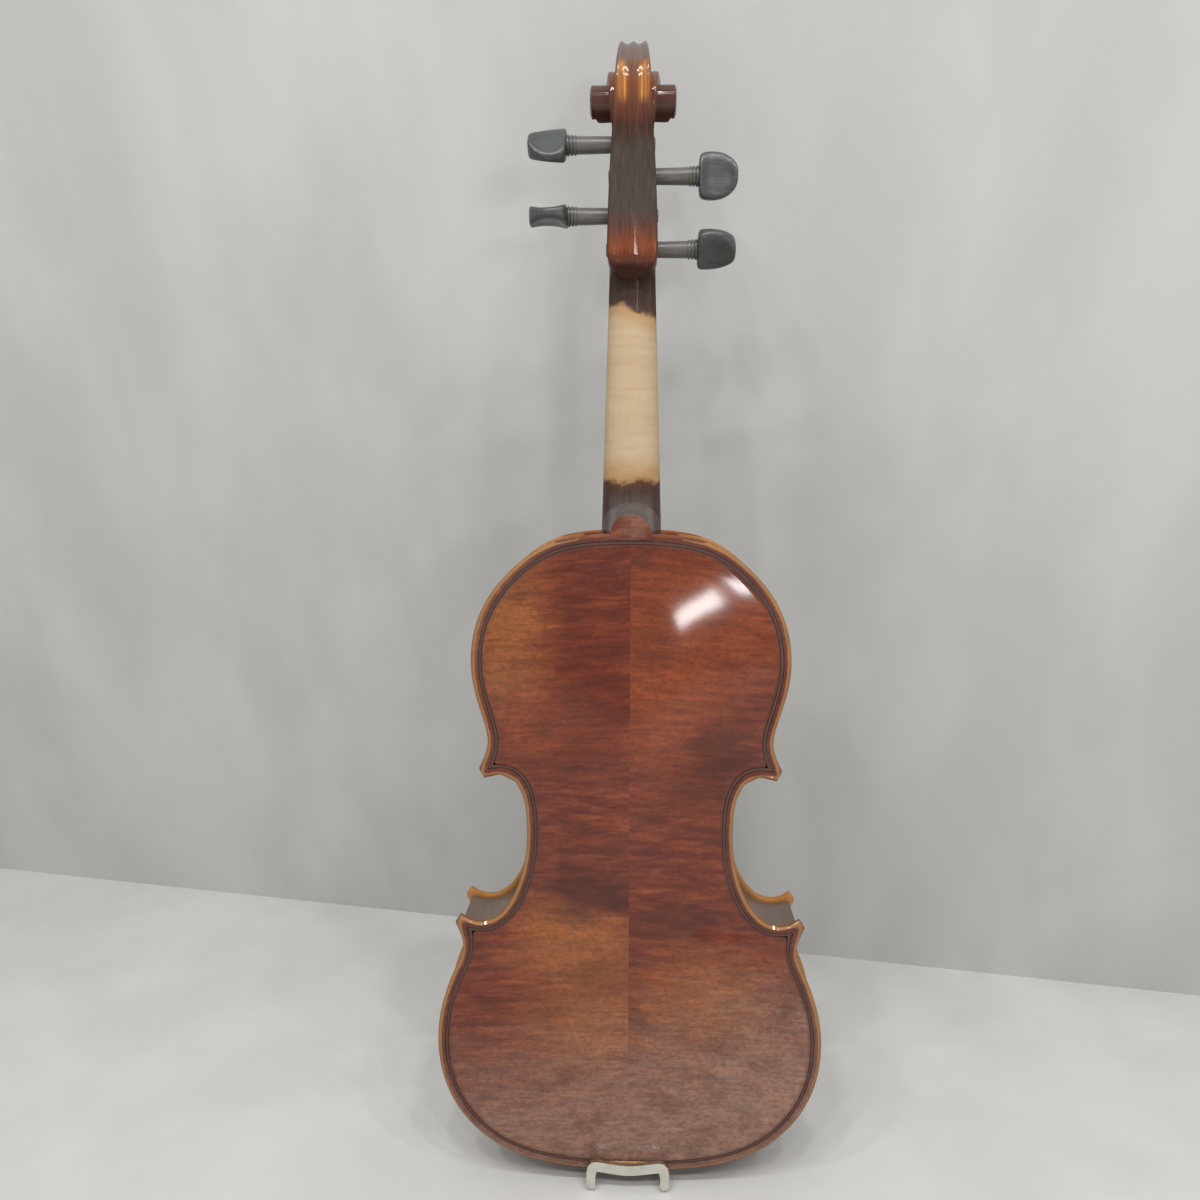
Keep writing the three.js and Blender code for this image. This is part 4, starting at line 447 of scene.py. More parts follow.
def metal(name, tone, worn, roughness, scratch_sizes):
    """Polished metal: faint scratches and a dull bloom from handling."""
    made, tree, grid = finish_of(name, Metallic=1.0)
    scratches = add(tree, "TexNoise", {"Vector": grid, "Detail": 4, "Roughness": 0.7}, sizes=scratch_sizes)
    bloom = add(tree, "TexNoise", {"Vector": grid, "Detail": 3}, sizes=(9, 9, 9))
    colour = layered(tree, tone, (bloom, 0.4, 0.7, 0.6, worn))
    rough = add(tree, "MapRange", {0: bloom, 1: 0.35, 2: 0.7, 3: roughness, 4: roughness + 0.12}, **SMOOTH)
    return finished(made, colour, scratches, 0.004, 0.4, Roughness=rough)


def moulded(name, tone, lighter, roughness, grit):
    """Moulded or extruded plastic: one colour with a fine uneven sheen."""
    made, tree, grid = finish_of(name, IOR=1.5)
    grains = add(tree, "TexNoise", {"Vector": grid, "Detail": 3}, sizes=(grit, grit, grit))
    colour = layered(tree, tone, (grains, 0.35, 0.7, 0.5, lighter))
    rough = add(tree, "MapRange", {
        0: grains, 1: 0.3, 2: 0.7, 3: roughness - 0.06, 4: roughness + 0.08}, **SMOOTH)
    return finished(made, colour, grains, 0.01, 0.5, Roughness=rough)


def wound_steel():
    """Flat-wound steel string: close turns of ribbon, drawn 0.5 mm wide so that they show."""
    made, tree, grid = finish_of("steel_flat_wound", Metallic=1.0)
    turns = add(tree, "TexWave", {"Vector": grid, "Scale": 0.63, "Distortion": 0}, bands_direction="Z")
    turns = add(tree, "MapRange", {0: turns.outputs["Fac"]}, **SMOOTH)
    colour = add(tree, "Mix", {0: turns, 6: "#8E8E90", 7: "#C2C2C4"}, **COLOUR)
    rough = add(tree, "MapRange", {0: turns, 3: 0.42, 4: 0.26})
    return finished(made, colour, turns, 0.04, Roughness=rough)


def ground_cork():
    """Composition cork: light grains pressed with darker ones, dull all over."""
    made, tree, grid = finish_of("cork_composition", Roughness=0.85, IOR=1.4)
    grains = add(tree, "TexVoronoi", {"Vector": grid, "Scale": 1.1}).outputs["Color"]
    tone = add(tree, "SeparateColor", {"Color": grains})
    colour = add(tree, "ValToRGB", {"Fac": tone}, stops=[
        (0.0, "#7D5936"), (0.4, "#B38B5B"), (1.0, "#CDA877")])
    pits = add(tree, "TexNoise", {"Vector": grid, "Detail": 3}, sizes=(0.8, 0.8, 0.8))
    return finished(made, colour, pits, 0.08)


back_maple = back_boards()
rib_maple = rib_strips()
neck_wood = neck_maple()
top_spruce = top_boards()
# Pearwood dyed black, inlaid and varnished over: a soft dark line rather than a black one
purfling_wood = plain_wood("pearwood_dyed_black", "#5A3A30", "#4E3129", "#432A24", (0.8, 0.8, 14), 0.5)
# Quartered maple, scraped and left bare: pale, with short brown flecks
bridge_maple = plain_wood("maple_bridge_blank", "#DCC294", "#CFAF7C", "#A98353", (2.2, 2.2, 0.7), 0.5)
# Split spruce, planed and left bare inside the body
block_spruce = plain_wood("spruce_bare", "#DDC396", "#CDAE7C", "#AE8B5A", (0.9, 0.9, 30), 0.65)
# Oiled ebony: near black, close-pored, with a low satin sheen
ebony = plain_wood("ebony_oiled", "#2A2626", "#1C1A1B", "#121112", (0.35, 0.35, 9), 0.36)
peg_ebony = peg_wood()
# Nickel over brass, polished then handled: warm grey-white
nickel = metal("nickel_plated_brass", "#E4E2D8", "#C8C6BC", 0.2, (0.3, 6, 6))
# Thin rolled brass sheet: yellow, with fine rolling lines
brass = metal("brass_rolled", "#C9A552", "#9F8140", 0.32, (4, 0.3, 4))
# Drawn nylon cord and moulded ABS: soft black with a faint uneven sheen
nylon = moulded("nylon_black", "#1E1E1F", "#2E2E30", 0.42, 0.8)
black_plastic = moulded("abs_black_moulded", "#1B1B1C", "#28282A", 0.48, 0.6)
strings_steel = wound_steel()
# Plain drawn wire: bright, with lines along it
plain_steel = metal("steel_polished_wire", "#C6C6C8", "#9A9A9C", 0.22, (0.3, 0.3, 5))
cork = ground_cork()


# Helpers for shapes
def mesh_piece(name, bm, recalc=True, sharp=None):
    """A bare object of the mesh, smooth where its faces turn less than sharp, if that is given."""
    if recalc:
        bmesh.ops.recalc_face_normals(bm, faces=bm.faces)
    if sharp:
        for face in bm.faces:
            face.smooth = True
        for edge in bm.edges:
            if len(edge.link_faces) == 2:
                edge.smooth = edge.calc_face_angle() < math.radians(sharp)
    mesh = bpy.data.meshes.new(name)
    bm.to_mesh(mesh)
    bm.free()
    made = bpy.data.objects.new(name, mesh)
    scene.collection.objects.link(made)
    return made


def placed(name, bm, material, slot, *nodes, recalc=True, sharp=40):
    """Makes a piece of the mesh, which rides with the first node it stands for."""
    made = mesh_piece(name, bm, recalc, sharp)
    made.data.materials.append(material)
    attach(made, body_of(frame["nodes"][nodes[0]])[0])
    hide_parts(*nodes)
    return made


def copied(*nodes):
    """The meshes of CAD nodes in one, with the points that lie together merged."""
    bm = bmesh.new()
    for node in nodes:
        bm.from_mesh(frame["nodes"][node].data)
    bmesh.ops.remove_doubles(bm, verts=bm.verts, dist=TOGETHER)
    return bm


def paired(bm):
    """Joins the mesh's triangles in pairs again."""
    bmesh.ops.join_triangles(bm, faces=bm.faces, cmp_seam=False, cmp_sharp=False, cmp_uvs=False,
                             cmp_vcols=False, cmp_materials=False, angle_face_threshold=math.radians(24),
                             angle_shape_threshold=math.radians(170))
    return bm


def flat_faced(node):
    """A copy of a CAD node with its coplanar faces merged."""
    bm = copied(node)
    bmesh.ops.dissolve_limit(bm, angle_limit=math.radians(1.5), verts=bm.verts, edges=bm.edges)
    return bm


def creased(bm, sharp, weight=1.0):
    """Keeps the edges that turn more than sharp when the mesh is subdivided."""
    crease = bm.edges.layers.float.get("crease_edge") or bm.edges.layers.float.new("crease_edge")
    for edge in bm.edges:
        if len(edge.link_faces) == 2 and edge.calc_face_angle() > math.radians(sharp):
            edge[crease] = weight


def applied(made):
    """Gives the piece the mesh that its modifiers make, and clears them."""
    graph = bpy.context.evaluated_depsgraph_get()
    fresh = bpy.data.meshes.new_from_object(made.evaluated_get(graph), depsgraph=graph)
    made.modifiers.clear()
    made.data = fresh


def kept_inside(made, *nodes):
    """Moves points that stand outside the nodes' box on to it."""
    boxes = [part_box(node) for node in nodes]
    lows = [min(box[0][axis] for box in boxes) for axis in range(3)]
    highs = [max(box[1][axis] for box in boxes) for axis in range(3)]
    for vert in made.data.vertices:
        vert.co = [min(max(place, low), high) for place, low, high in zip(vert.co, lows, highs)]
    made.data.update()


def rounded(made, levels=2, passes=2):
    """Subdivides the piece, with its points moved first so that the smooth surface passes where they were."""
    subdivision = made.modifiers.new("smooth", "SUBSURF")
    subdivision.levels = levels
    subdivision.render_levels = levels
    mesh = made.data
    aims = [vert.co.copy() for vert in mesh.vertices]
    for _ in range(passes):
        shown = made.evaluated_get(bpy.context.evaluated_depsgraph_get())
        smooth = shown.to_mesh()
        for vert, aim, point in zip(mesh.vertices, aims, smooth.vertices):
            vert.co += (aim - point.co) * 0.9
        shown.to_mesh_clear()
        mesh.update()
    applied(made)


def refined(node, material, slot, sharp, levels=2, weight=1.0, passes=2):
    """A copy of a CAD node, subdivided between its sharp edges."""
    bm = paired(copied(node))
    creased(bm, sharp, weight)
    made = placed(f"{node}_finished", bm, material, slot, node, recalc=False, sharp=sharp)
    rounded(made, levels, passes)
    kept_inside(made, node)


def bevelled(made, width, sharp, segments=2):
    """Rounds the piece's edges that turn more than sharp, by a width in millimetres."""
    bevel = made.modifiers.new("eased edges", "BEVEL")
    bevel.width = width * MM
    bevel.segments = segments
    bevel.limit_method = "ANGLE"
    bevel.angle_limit = math.radians(sharp)


def eased(node, material, slot, width):
    """A copy of a CAD node with its edges rounded."""
    made = placed(f"{node}_finished", flat_faced(node), material, slot, node, recalc=False, sharp=PLAIN_SHARP)
    bevelled(made, width, PLAIN_SHARP)


def lofted(sections):
    """Extrudes the first section through the others, and leaves both ends closed."""
    bm = bmesh.new()
    verts = [bm.verts.new(point) for point in sections[0]]
    face = bm.faces.new(verts)
    for i, section in enumerate(sections[1:]):
        order = {tuple(vert.co): k for k, vert in enumerate(verts)}
        grown = bmesh.ops.extrude_face_region(bm, geom=[face])["geom"]
        if i:
            bmesh.ops.delete(bm, geom=[face], context="FACES_ONLY")
        fresh = [item for item in grown if isinstance(item, bmesh.types.BMVert)]
        face = next(item for item in grown if isinstance(item, bmesh.types.BMFace))
        verts = sorted(fresh, key=lambda vert: order[tuple(vert.co)])
        for vert, point in zip(verts, section):
            vert.co = point
    return bm


def turned(profile, place, steps=40):
    """Spins a profile of (along, radius) pairs in millimetres once round X, then moves it to its place."""
    bm = bmesh.new()
    verts = [bm.verts.new((along * MM, radius * MM, 0)) for along, radius in profile]
    edges = [bm.edges.new(pair) for pair in zip(verts, verts[1:])]
    bmesh.ops.spin(bm, geom=verts + edges, cent=(0, 0, 0), axis=(1, 0, 0), dvec=(0, 0, 0),
                   angle=2 * math.pi, steps=steps, use_merge=True)
    bmesh.ops.remove_doubles(bm, verts=bm.verts, dist=0.002 * MM)
    bmesh.ops.recalc_face_normals(bm, faces=bm.faces)
    bmesh.ops.transform(bm, matrix=place, verts=bm.verts)
    return bm


def merged(*meshes):
    """Several meshes in one."""
    whole = meshes[0]
    for other in meshes[1:]:
        part = bpy.data.meshes.new("part")
        other.to_mesh(part)
        other.free()
        whole.from_mesh(part)
        bpy.data.meshes.remove(part)
    return whole


# Back and top
BUTTON_RIM = 12


def rim_distances(bm, ring_y):
    """Writes each point's distance to the plate's outline, in millimetres, as the attribute rim."""
    ring = []
    for edge in bm.edges:
        if all(abs(vert.co.y - ring_y * MM) < 0.02 * MM for vert in edge.verts):
            first, last = (vert.co for vert in edge.verts)
            parts = max(2, math.ceil((last - first).length / MM))
            ring += [first.lerp(last, i / parts) for i in range(parts + 1)]
    tree = kdtree.KDTree(len(ring))
    for i, point in enumerate(ring):
        tree.insert((point.x, 0, point.z), i)
    tree.balance()
    rim = bm.verts.layers.float.new("rim")
    button_foot = (PLATES_Z + BODY_LENGTH - 2) * MM
    for vert in bm.verts:
        on_button = vert.co.z > button_foot
        vert[rim] = BUTTON_RIM if on_button else tree.find((vert.co.x, 0, vert.co.z))[2] / MM


def plate_mesh():
    """Both halves of the back in one, without the faces of the seam."""
    bm = copied("back_bass", "back_treble")
    inner = [face for face in bm.faces if all(abs(vert.co.x) < TOGETHER for vert in face.verts)]
    bmesh.ops.delete(bm, geom=inner, context="FACES")
    bmesh.ops.remove_doubles(bm, verts=bm.verts, dist=TOGETHER)
    paired(bm)
    rim_distances(bm, SEAM_Y - EDGE_THICKNESS * EDGE_LOW)
    creased(bm, PLATE_SHARP)
    return bm


back = placed("back_finished", plate_mesh(), back_maple, "varnished_maple", "back_bass", "back_treble",
              recalc=False, sharp=PLATE_SHARP)
rounded(back)
kept_inside(back, "back_bass", "back_treble")


def top_mesh():
    """The back's form turned over on to the ribs, with the top's own higher arch."""
    bm = plate_mesh()
    for vert in bm.verts:
        height = SEAM_Y - vert.co.y / MM
        if height > BLEND_HEIGHT:
            share = (height - BLEND_HEIGHT) / (BACK_ARCH - BLEND_HEIGHT)
            height = max(height, BLEND_HEIGHT + share * (TOP_ARCH - BLEND_HEIGHT))
        vert.co.y = (SEAM_Y + RIB_HEIGHT + height) * MM
    bmesh.ops.reverse_faces(bm, faces=bm.faces)
    return bm


# The sound hole's stem: shares of the way across and up, and of the width
STEM = [
    (0.04, 0.93, 0.2), (0.24, 1, 0.32), (0.39, 0.93, 0.72), (0.44, 0.76, 0.96), (0.5, 0.5, 1),
    (0.57, 0.24, 0.96), (0.65, 0.07, 0.72), (0.8, 0, 0.32), (0.97, 0.08, 0.2),
]
# The sound hole's round eyes: x, z and radius
EYES = [(22.6, 196.5, 3.1), (48.2, 140.8, 4.2)]
STEM_LOW = 133.6
STEM_HIGH = 202
STEM_WIDTH = 5.8
EYE_POINTS = 32


def standing(outline, low, high):
    """A flat outline of X and Z places extruded from one depth to another."""
    return lofted([[body_place(x, y, z) for x, z in outline] for y in (low, high)])


def round_outline(x, z, radius):
    turns = [2 * math.pi * i / EYE_POINTS for i in range(EYE_POINTS)]
    return [(x + radius * math.cos(turn), z + radius * math.sin(turn)) for turn in turns]


def shaped(made, tools, operation="DIFFERENCE"):
    """Cuts the tools out of the piece, or joins them to it, one after another."""
    for tool in tools:
        other = mesh_piece("tool", tool)
        boolean = made.modifiers.new("shape", "BOOLEAN")
        boolean.operation = operation
        boolean.solver = "EXACT"
        boolean.object = other
        applied(made)
        bpy.data.objects.remove(other)


def sealed(made):
    """Closes the slits that the cuts left."""
    bm = bmesh.new()
    bm.from_mesh(made.data)
    bmesh.ops.remove_doubles(bm, verts=bm.verts, dist=TOGETHER)
    bmesh.ops.holes_fill(bm, edges=[edge for edge in bm.edges if edge.is_boundary], sides=6)
    bm.to_mesh(made.data)
    bm.free()


def sound_hole(side):
    """The stem of a sound hole and its two round eyes, as one body to cut with."""
    low, high = RIB_HEIGHT - 4, RIB_HEIGHT + TOP_ARCH + 6
    (upper_x, *_), (lower_x, *_) = EYES
    rows = through([(blend(upper_x, lower_x, across), blend(STEM_LOW, STEM_HIGH, up), width)
                    for across, up, width in STEM], 5)
    edges = [[], []]
    for i, (x, z, width) in enumerate(rows):
        before, after = rows[max(0, i - 1)], rows[min(len(rows) - 1, i + 1)]
        along = Vector((after[0] - before[0], after[1] - before[1])).normalized()
        for edge, sign in zip(edges, (1, -1)):
            reach = sign * width * STEM_WIDTH / 2
            edge.append((side * (x - along.y * reach), z + along.x * reach))
    stem = mesh_piece("stem", standing(edges[0] + edges[1][::-1], low, high))
    eyes = [standing(round_outline(side * x, z, radius), low - 0.5, high + 0.5) for x, z, radius in EYES]
    shaped(stem, eyes, "UNION")
    hole = bmesh.new()
    hole.from_mesh(stem.data)
    bpy.data.objects.remove(stem)
    return hole


def corners_of(low_x, high_x, low_z, high_z):
    return [(low_x, low_z), (high_x, low_z), (high_x, high_z), (low_x, high_z)]


top = placed("top_finished", top_mesh(), top_spruce, "varnished_spruce", "top_bass", "top_treble",
             recalc=False, sharp=PLATE_SHARP)
rounded(top)
# The sound holes, and the places of the neck's heel and the saddle
shaped(top, [
    sound_hole(1), sound_hole(-1),
    standing(corners_of(-16.3, 16.3, 349.7, 380), 20, 60),
    standing(corners_of(-17.3, 17.3, -5, 7.3), 20, 46),
])
sealed(top)
kept_inside(top, "top_bass", "top_treble")

for node in ("purfling_back", "purfling_top_bass", "purfling_top_treble"):
    refined(node, purfling_wood, "dyed_wood", sharp=50)
for bout in ("lower", "middle", "upper"):
    for half in ("bass", "treble"):
        refined(f"rib_{bout}_{half}", rib_maple, "varnished_maple", sharp=45)

# Neck: shaft and heel, pegbox and scroll
NECK_SLOPE = math.tan(math.radians(5.7))
NUT_Z = 486.5
NUT_WIDTH = 24
BOARD_LENGTH = 270
BOARD_WIDTH = 42
HEEL_FOOT_WIDTH = 20.6
HEEL_TOP_WIDTH = 32
PEGBOX_START = 484
PEGBOX_END = 561
TROUGH_START = 492.6
TROUGH_END = 557
# At the foot and at the top: how deep the pegbox's back lies, and how wide the pegbox is
PEGBOX_BACK = (15, -5.6)
PEGBOX_WIDTH = (18.4, 25.4)
PEGBOX_FRONT_TOP = 13.4
PEGBOX_WALL = 4.1
PEGBOX_FLOOR = 4.6
SCROLL_EYE = (18, 571)
SCROLL_RADIUS = 27.4
SCROLL_WIDTH = 43
FLUTE_DEPTH = 1.1
CHIN_SHARE = 0.16
BEVEL = 1


def glue_plane(z):
    return RIB_HEIGHT + EDGE_THICKNESS + 6.5 - (z - BODY_LENGTH) * NECK_SLOPE


def board_width(z):
    return blend(NUT_WIDTH, BOARD_WIDTH, (NUT_Z - z) / BOARD_LENGTH)


# The angles of a half round, in small steps
HALF_ROUND = [math.pi * i / 20 for i in range(21)]


def shaft_section(z, thickness):
    """A flat glue face with a round belly behind it."""
    width = board_width(min(z, NUT_Z)) / 2
    top_y = glue_plane(z)
    side = thickness * 0.16
    belly = [(width * math.cos(a), top_y - side - (thickness - side) * math.sin(a) ** 0.9)
             for a in HALF_ROUND]
    return [body_place(x, y, z) for x, y in [(width, top_y), *belly, (-width, top_y)]]


HEEL_ROWS = through([
    # rise, widening, reaching
    (0, 0, 0), (0.22, 0.1, 0.03), (0.45, 0.35, 0.12), (0.68, 0.7, 0.34), (0.86, 0.92, 0.66), (1, 1, 1),
], 4)


def heel_sections():
    """Level sections with a round end: from the button up to the glue face, wider and longer on the way."""
    root, foot_end, top_end = BODY_LENGTH - 6, BODY_LENGTH + 9.4, BODY_LENGTH + 30
    for rise, widening, reaching in HEEL_ROWS:
        width = blend(HEEL_FOOT_WIDTH, HEEL_TOP_WIDTH, widening) / 2
        end = blend(foot_end, top_end, reaching)
        straight = blend(355, BODY_LENGTH, rise)
        tip = [(width * math.cos(a), straight + (end - straight) * math.sin(a)) for a in HALF_ROUND]
        yield [body_place(x, rise * glue_plane(top_end) if rise < 1 else glue_plane(z), z)
               for x, z in [(width, root), *tip, (-width, root)]]


# Across and depth of the flutes, from the edge to the ridge between them
CREST = through([(1, 1), (0.93, 0.35), (0.86, 0), (0.66, 0.75), (0.43, 1.4), (0.2, 0.9), (0, 0)], 2)


def band_section(back_point, front_point, width, flute, bevel):
    """A section whose back carries two flutes with a ridge between them."""
    inward = (front_point - back_point).normalized()

    def crest(across, depth, sign):
        reach = bevel if across == 1 else depth * flute
        point = back_point + inward * reach
        return body_place(sign * across * width, point.x, point.y)

    left = [crest(across, depth, -1) for across, depth in CREST]
    right = [crest(across, depth, 1) for across, depth in CREST[:-1][::-1]]
    fronts = [body_place(sign * width, front_point.x, front_point.y) for sign in (1, -1)]
    return [*left, *right, *fronts]


PEGBOX_ROWS = [
    # rise, share of the back's reach, share of the front's, share of the width, flute
    (0, 0, 0, 1, 0), (0.012, 0.2, 0, 1, 0), (0.035, 0.36, 0.01, 1, 0.1), (0.075, 0.56, 0.02, 1, 0.4),
    (0.115, 0.63, 0.04, 1, 0.7), (0.16, 0.66, 0.09, 0.99, 0.9),
    (0.28, 0.71, 0.24, 0.93, 1), (0.48, 0.79, 0.5, 0.78, 1), (0.68, 0.88, 0.76, 0.55, 1),
    (0.86, 0.96, 0.97, 0.27, 1), (1, 1, 1, 0.02, 1),
]


def pegbox_row(rise, back_share, front_share, width, flute):
    """The chin, seen from behind, is a half circle as wide as the pegbox."""
    front = glue_plane(PEGBOX_START) - 0.3
    chin = math.sqrt(1 - (1 - min(rise / CHIN_SHARE, 1)) ** 2)
    return (blend(PEGBOX_START, PEGBOX_END, rise), blend(*PEGBOX_BACK, back_share),
            blend(front, PEGBOX_FRONT_TOP, front_share), max(0.12, chin) * blend(*PEGBOX_WIDTH, width) / 2,
            flute * FLUTE_DEPTH / 2)


pegbox_rows = [pegbox_row(*row) for row in PEGBOX_ROWS]


def pegbox_at(z):
    """The pegbox's row of height, back, front, half width and flute at a height."""
    upper = next((i for i, row in enumerate(pegbox_rows) if i and row[0] >= z), len(pegbox_rows) - 1)
    low, high = pegbox_rows[upper - 1], pegbox_rows[upper]
    share = (z - low[0]) / (high[0] - low[0])
    return [blend(a, b, share) for a, b in zip(low, high)]


def trough_mesh():
    """The hollow between the pegbox's walls, as a body to cut with."""
    rows = [(0, 1), (0.07, 1), (0.3, 1), (0.6, 1), (0.83, 1), (0.9, 0), (1, 0)]
    sections = []
    for i, (rise, is_open) in enumerate(rows):
        z = blend(TROUGH_START, TROUGH_END, rise)
        _, back_y, front_y, width, _ = pegbox_at(z)
        slope = PEGBOX_FLOOR / 2 if i == 0 else 0
        top_y = front_y + 5 if is_open else blend(front_y, back_y, (rise - 0.9) * 4)
        x = width - PEGBOX_WALL
        low = back_y + PEGBOX_FLOOR + slope
        sections.append([body_place(a, b, z) for a, b in ((-x, low), (-x, top_y), (x, top_y), (x, low))])
    return lofted(sections)


# Radius and width of the scroll's band after each quarter turn, as shares of the largest
SPIRAL = [
    (0.87, 0.42), (1, 0.3), (0.89, 0.36), (0.735, 0.45), (0.59, 0.545), (0.475, 0.61),
    (0.395, 0.72), (0.33, 0.87), (0.29, 1),
]
SPIRAL_STEPS = 8
spiral_rows = through(SPIRAL, SPIRAL_STEPS)


def spiral_row(turn):
    return spiral_rows[min(round(turn * SPIRAL_STEPS), len(spiral_rows) - 1)]


def scroll_section(turn):
    quarters = len(SPIRAL) - 1
    share = turn / quarters
    radius, width = spiral_row(turn)
    core = spiral_row(min(turn + 4, quarters))[0] * 0.62
    angle = math.pi / 2 * turn
    centre = Vector(SCROLL_EYE)
    outward = Vector((-math.cos(angle), math.sin(angle)))
    return band_section(centre + outward * radius * SCROLL_RADIUS, centre + outward * core * SCROLL_RADIUS,
                        width * SCROLL_WIDTH / 2, FLUTE_DEPTH * (1 - share), BEVEL)


def pegbox_mesh():
    """One fluted band: up the pegbox from the chin, then over the top of the scroll."""
    rows = through(pegbox_rows, 4)
    _, last_back, last_front, last_width, last_flute = rows[-1]
    radius, width = spiral_row(0)
    eye_y, eye_z = SCROLL_EYE
    start_back, start_width = eye_y - radius * SCROLL_RADIUS, width * SCROLL_WIDTH / 2
    for share in (0.3, 0.6, 0.9):
        rows.append((blend(PEGBOX_END, eye_z, share), blend(last_back, start_back, share),
                     blend(last_front, 8, share), blend(last_width, start_width, share),
                     blend(last_flute, FLUTE_DEPTH, share)))
    sections = [band_section(Vector((row[1], row[0])), Vector((row[2], row[0])), row[3], row[4], BEVEL)
                for row in rows]
    sections += [scroll_section(i / SPIRAL_STEPS) for i in range(2 * SPIRAL_STEPS + 1)]
    return lofted(sections)


def scroll_mesh():
    """The inner turns of the spiral in half turns, each a closed band, and the eye through their middle."""
    bands = []
    quarters = len(SPIRAL) - 1
    for first in range(2, quarters, 2):
        bands.append(lofted([scroll_section(first + i / SPIRAL_STEPS) for i in range(2 * SPIRAL_STEPS + 1)]))
    radius = SPIRAL[-1][0] * SCROLL_RADIUS * 0.97
    half_width = SCROLL_WIDTH / 2
    place = Matrix.Translation(body_place(0, *SCROLL_EYE))
    eye = turned([(-half_width, 0), (-half_width, radius * 0.8), (-half_width + 0.8, radius),
                  (half_width - 0.8, radius), (half_width, radius * 0.8), (half_width, 0)], place, 32)
    return merged(*bands, eye)


pegbox = placed("pegbox_finished", pegbox_mesh(), neck_wood, "varnished_maple", "neck", sharp=45)
shaped(pegbox, [trough_mesh()])
placed("scroll_finished", scroll_mesh(), neck_wood, "varnished_maple", "neck", sharp=45)
shaft_rows = through([(356.3, 16.5), (380, 16.5), (432, 15.05), (484, 13.6), (TROUGH_START, 13.6)], 3)
placed("neck_shaft_finished", lofted([shaft_section(*row) for row in shaft_rows]), neck_wood,
       "varnished_maple", "neck", sharp=50)
placed("heel_finished", lofted(list(heel_sections())), neck_wood, "varnished_maple", "neck", sharp=50)

# Pegs: tapered shaft, collar with three turned rings, and a thumb-piece hollowed on both faces
PEGS = [
    # string, side, z, y, turn of the head in degrees
    ("g", 1, 498.8, 14.4, 50), ("e", -1, 514.8, 12.2, 90), ("d", 1, 532.9, 9.4, 0), ("a", -1, 547.4, 7.2, 42),
]
SHAFT_RADIUS = 4.25
TIP_RADIUS = 3.5
COLLAR_X = 27.6
COLLAR_LENGTH = 5.2
HEAD_LENGTH = 19.4
HEAD_WIDTH = 22.8
HEAD_THICKNESS = 9.8
HEAD_POINTS = 36
HEAD = through([
    # rise, share of the width, share of the thickness
    (0, 0.5, 0.72), (0.015, 0.74, 0.94), (0.05, 0.88, 1), (0.12, 0.96, 0.93), (0.25, 1, 0.78),
    (0.42, 1, 0.68), (0.58, 0.95, 0.67), (0.72, 0.85, 0.74), (0.84, 0.7, 0.88), (0.92, 0.55, 0.97),
    (0.965, 0.42, 0.94), (0.99, 0.28, 0.74), (1, 0.1, 0.4),
], 3)


def head_section(rise, across, deepness):
    """A rounded section of the thumb-piece, hollowed in the middle of both faces."""
    dish = 0.26 * smoothstep(0.02, 0.25, rise) * smoothstep(0.98, 0.75, rise)
    x = COLLAR_X + COLLAR_LENGTH + rise * HEAD_LENGTH
    points = []
    for i in range(HEAD_POINTS):
        angle = 2 * math.pi * (i + 0.5) / HEAD_POINTS
        wide, deep = math.cos(angle), math.sin(angle)
        wide = math.copysign(abs(wide) ** 0.75, wide)
        hollow = 1 - dish * math.exp(-(wide / 0.55) ** 2)
        deep = math.copysign(abs(deep) ** 0.55, deep) * hollow
        points.append(Vector((x, deep * deepness * HEAD_THICKNESS / 2, wide * across * HEAD_WIDTH / 2)) * MM)
    return points


def peg_mesh(side, z, y, turn):
    """A peg through both walls, with its tip just outside the far one."""
    tip = -pegbox_at(z)[3] - 0.8
    ring = COLLAR_LENGTH / 3
    r = SHAFT_RADIUS
    profile = [(tip, 0), (tip, TIP_RADIUS - 0.6), (tip + 0.5, TIP_RADIUS), (COLLAR_X, r)]
    for i, swell in enumerate((1.12, 1.14, 1.18)):
        start = COLLAR_X + i * ring
        profile += [(start + ring * along, r * radius) for along, radius in (
            (0, 0.96), (0.16, 0.96), (0.26, swell * 0.97), (0.58, swell), (0.9, swell * 0.97), (1, 0.97))]
    end = COLLAR_X + COLLAR_LENGTH + 1.5
    profile += [(end, r * 0.95), (end, 0)]
    bm = merged(turned(profile, Matrix.Identity(4), 36), lofted([head_section(*row) for row in HEAD]))
    place = Matrix.Translation(body_place(0, y, z))
    if side < 0:
        place = place @ Matrix.Rotation(math.pi, 4, "Y")
    bmesh.ops.transform(bm, matrix=place @ Matrix.Rotation(math.radians(turn), 4, "X"), verts=bm.verts)
    return bm


for name, side, z, y, turn in PEGS:
    placed(f"peg_{name}_finished", peg_mesh(side, z, y, turn), peg_ebony, "ebony", f"peg_{name}", sharp=42)

# Fingerboard, nut, saddle, bridge and tailpiece
refined("fingerboard", ebony, "ebony", sharp=40, levels=3)
eased("nut", ebony, "ebony", 0.3)
eased("saddle", ebony, "ebony", 0.3)
refined("bridge", bridge_maple, "bare_wood", sharp=48)
refined("tailpiece", ebony, "ebony", sharp=34, weight=0.9)

# Strings
for name in "gda":
    refined(f"string_{name}", strings_steel, "steel", sharp=70, passes=0)
refined("string_e", plain_steel, "steel", sharp=70, passes=0)

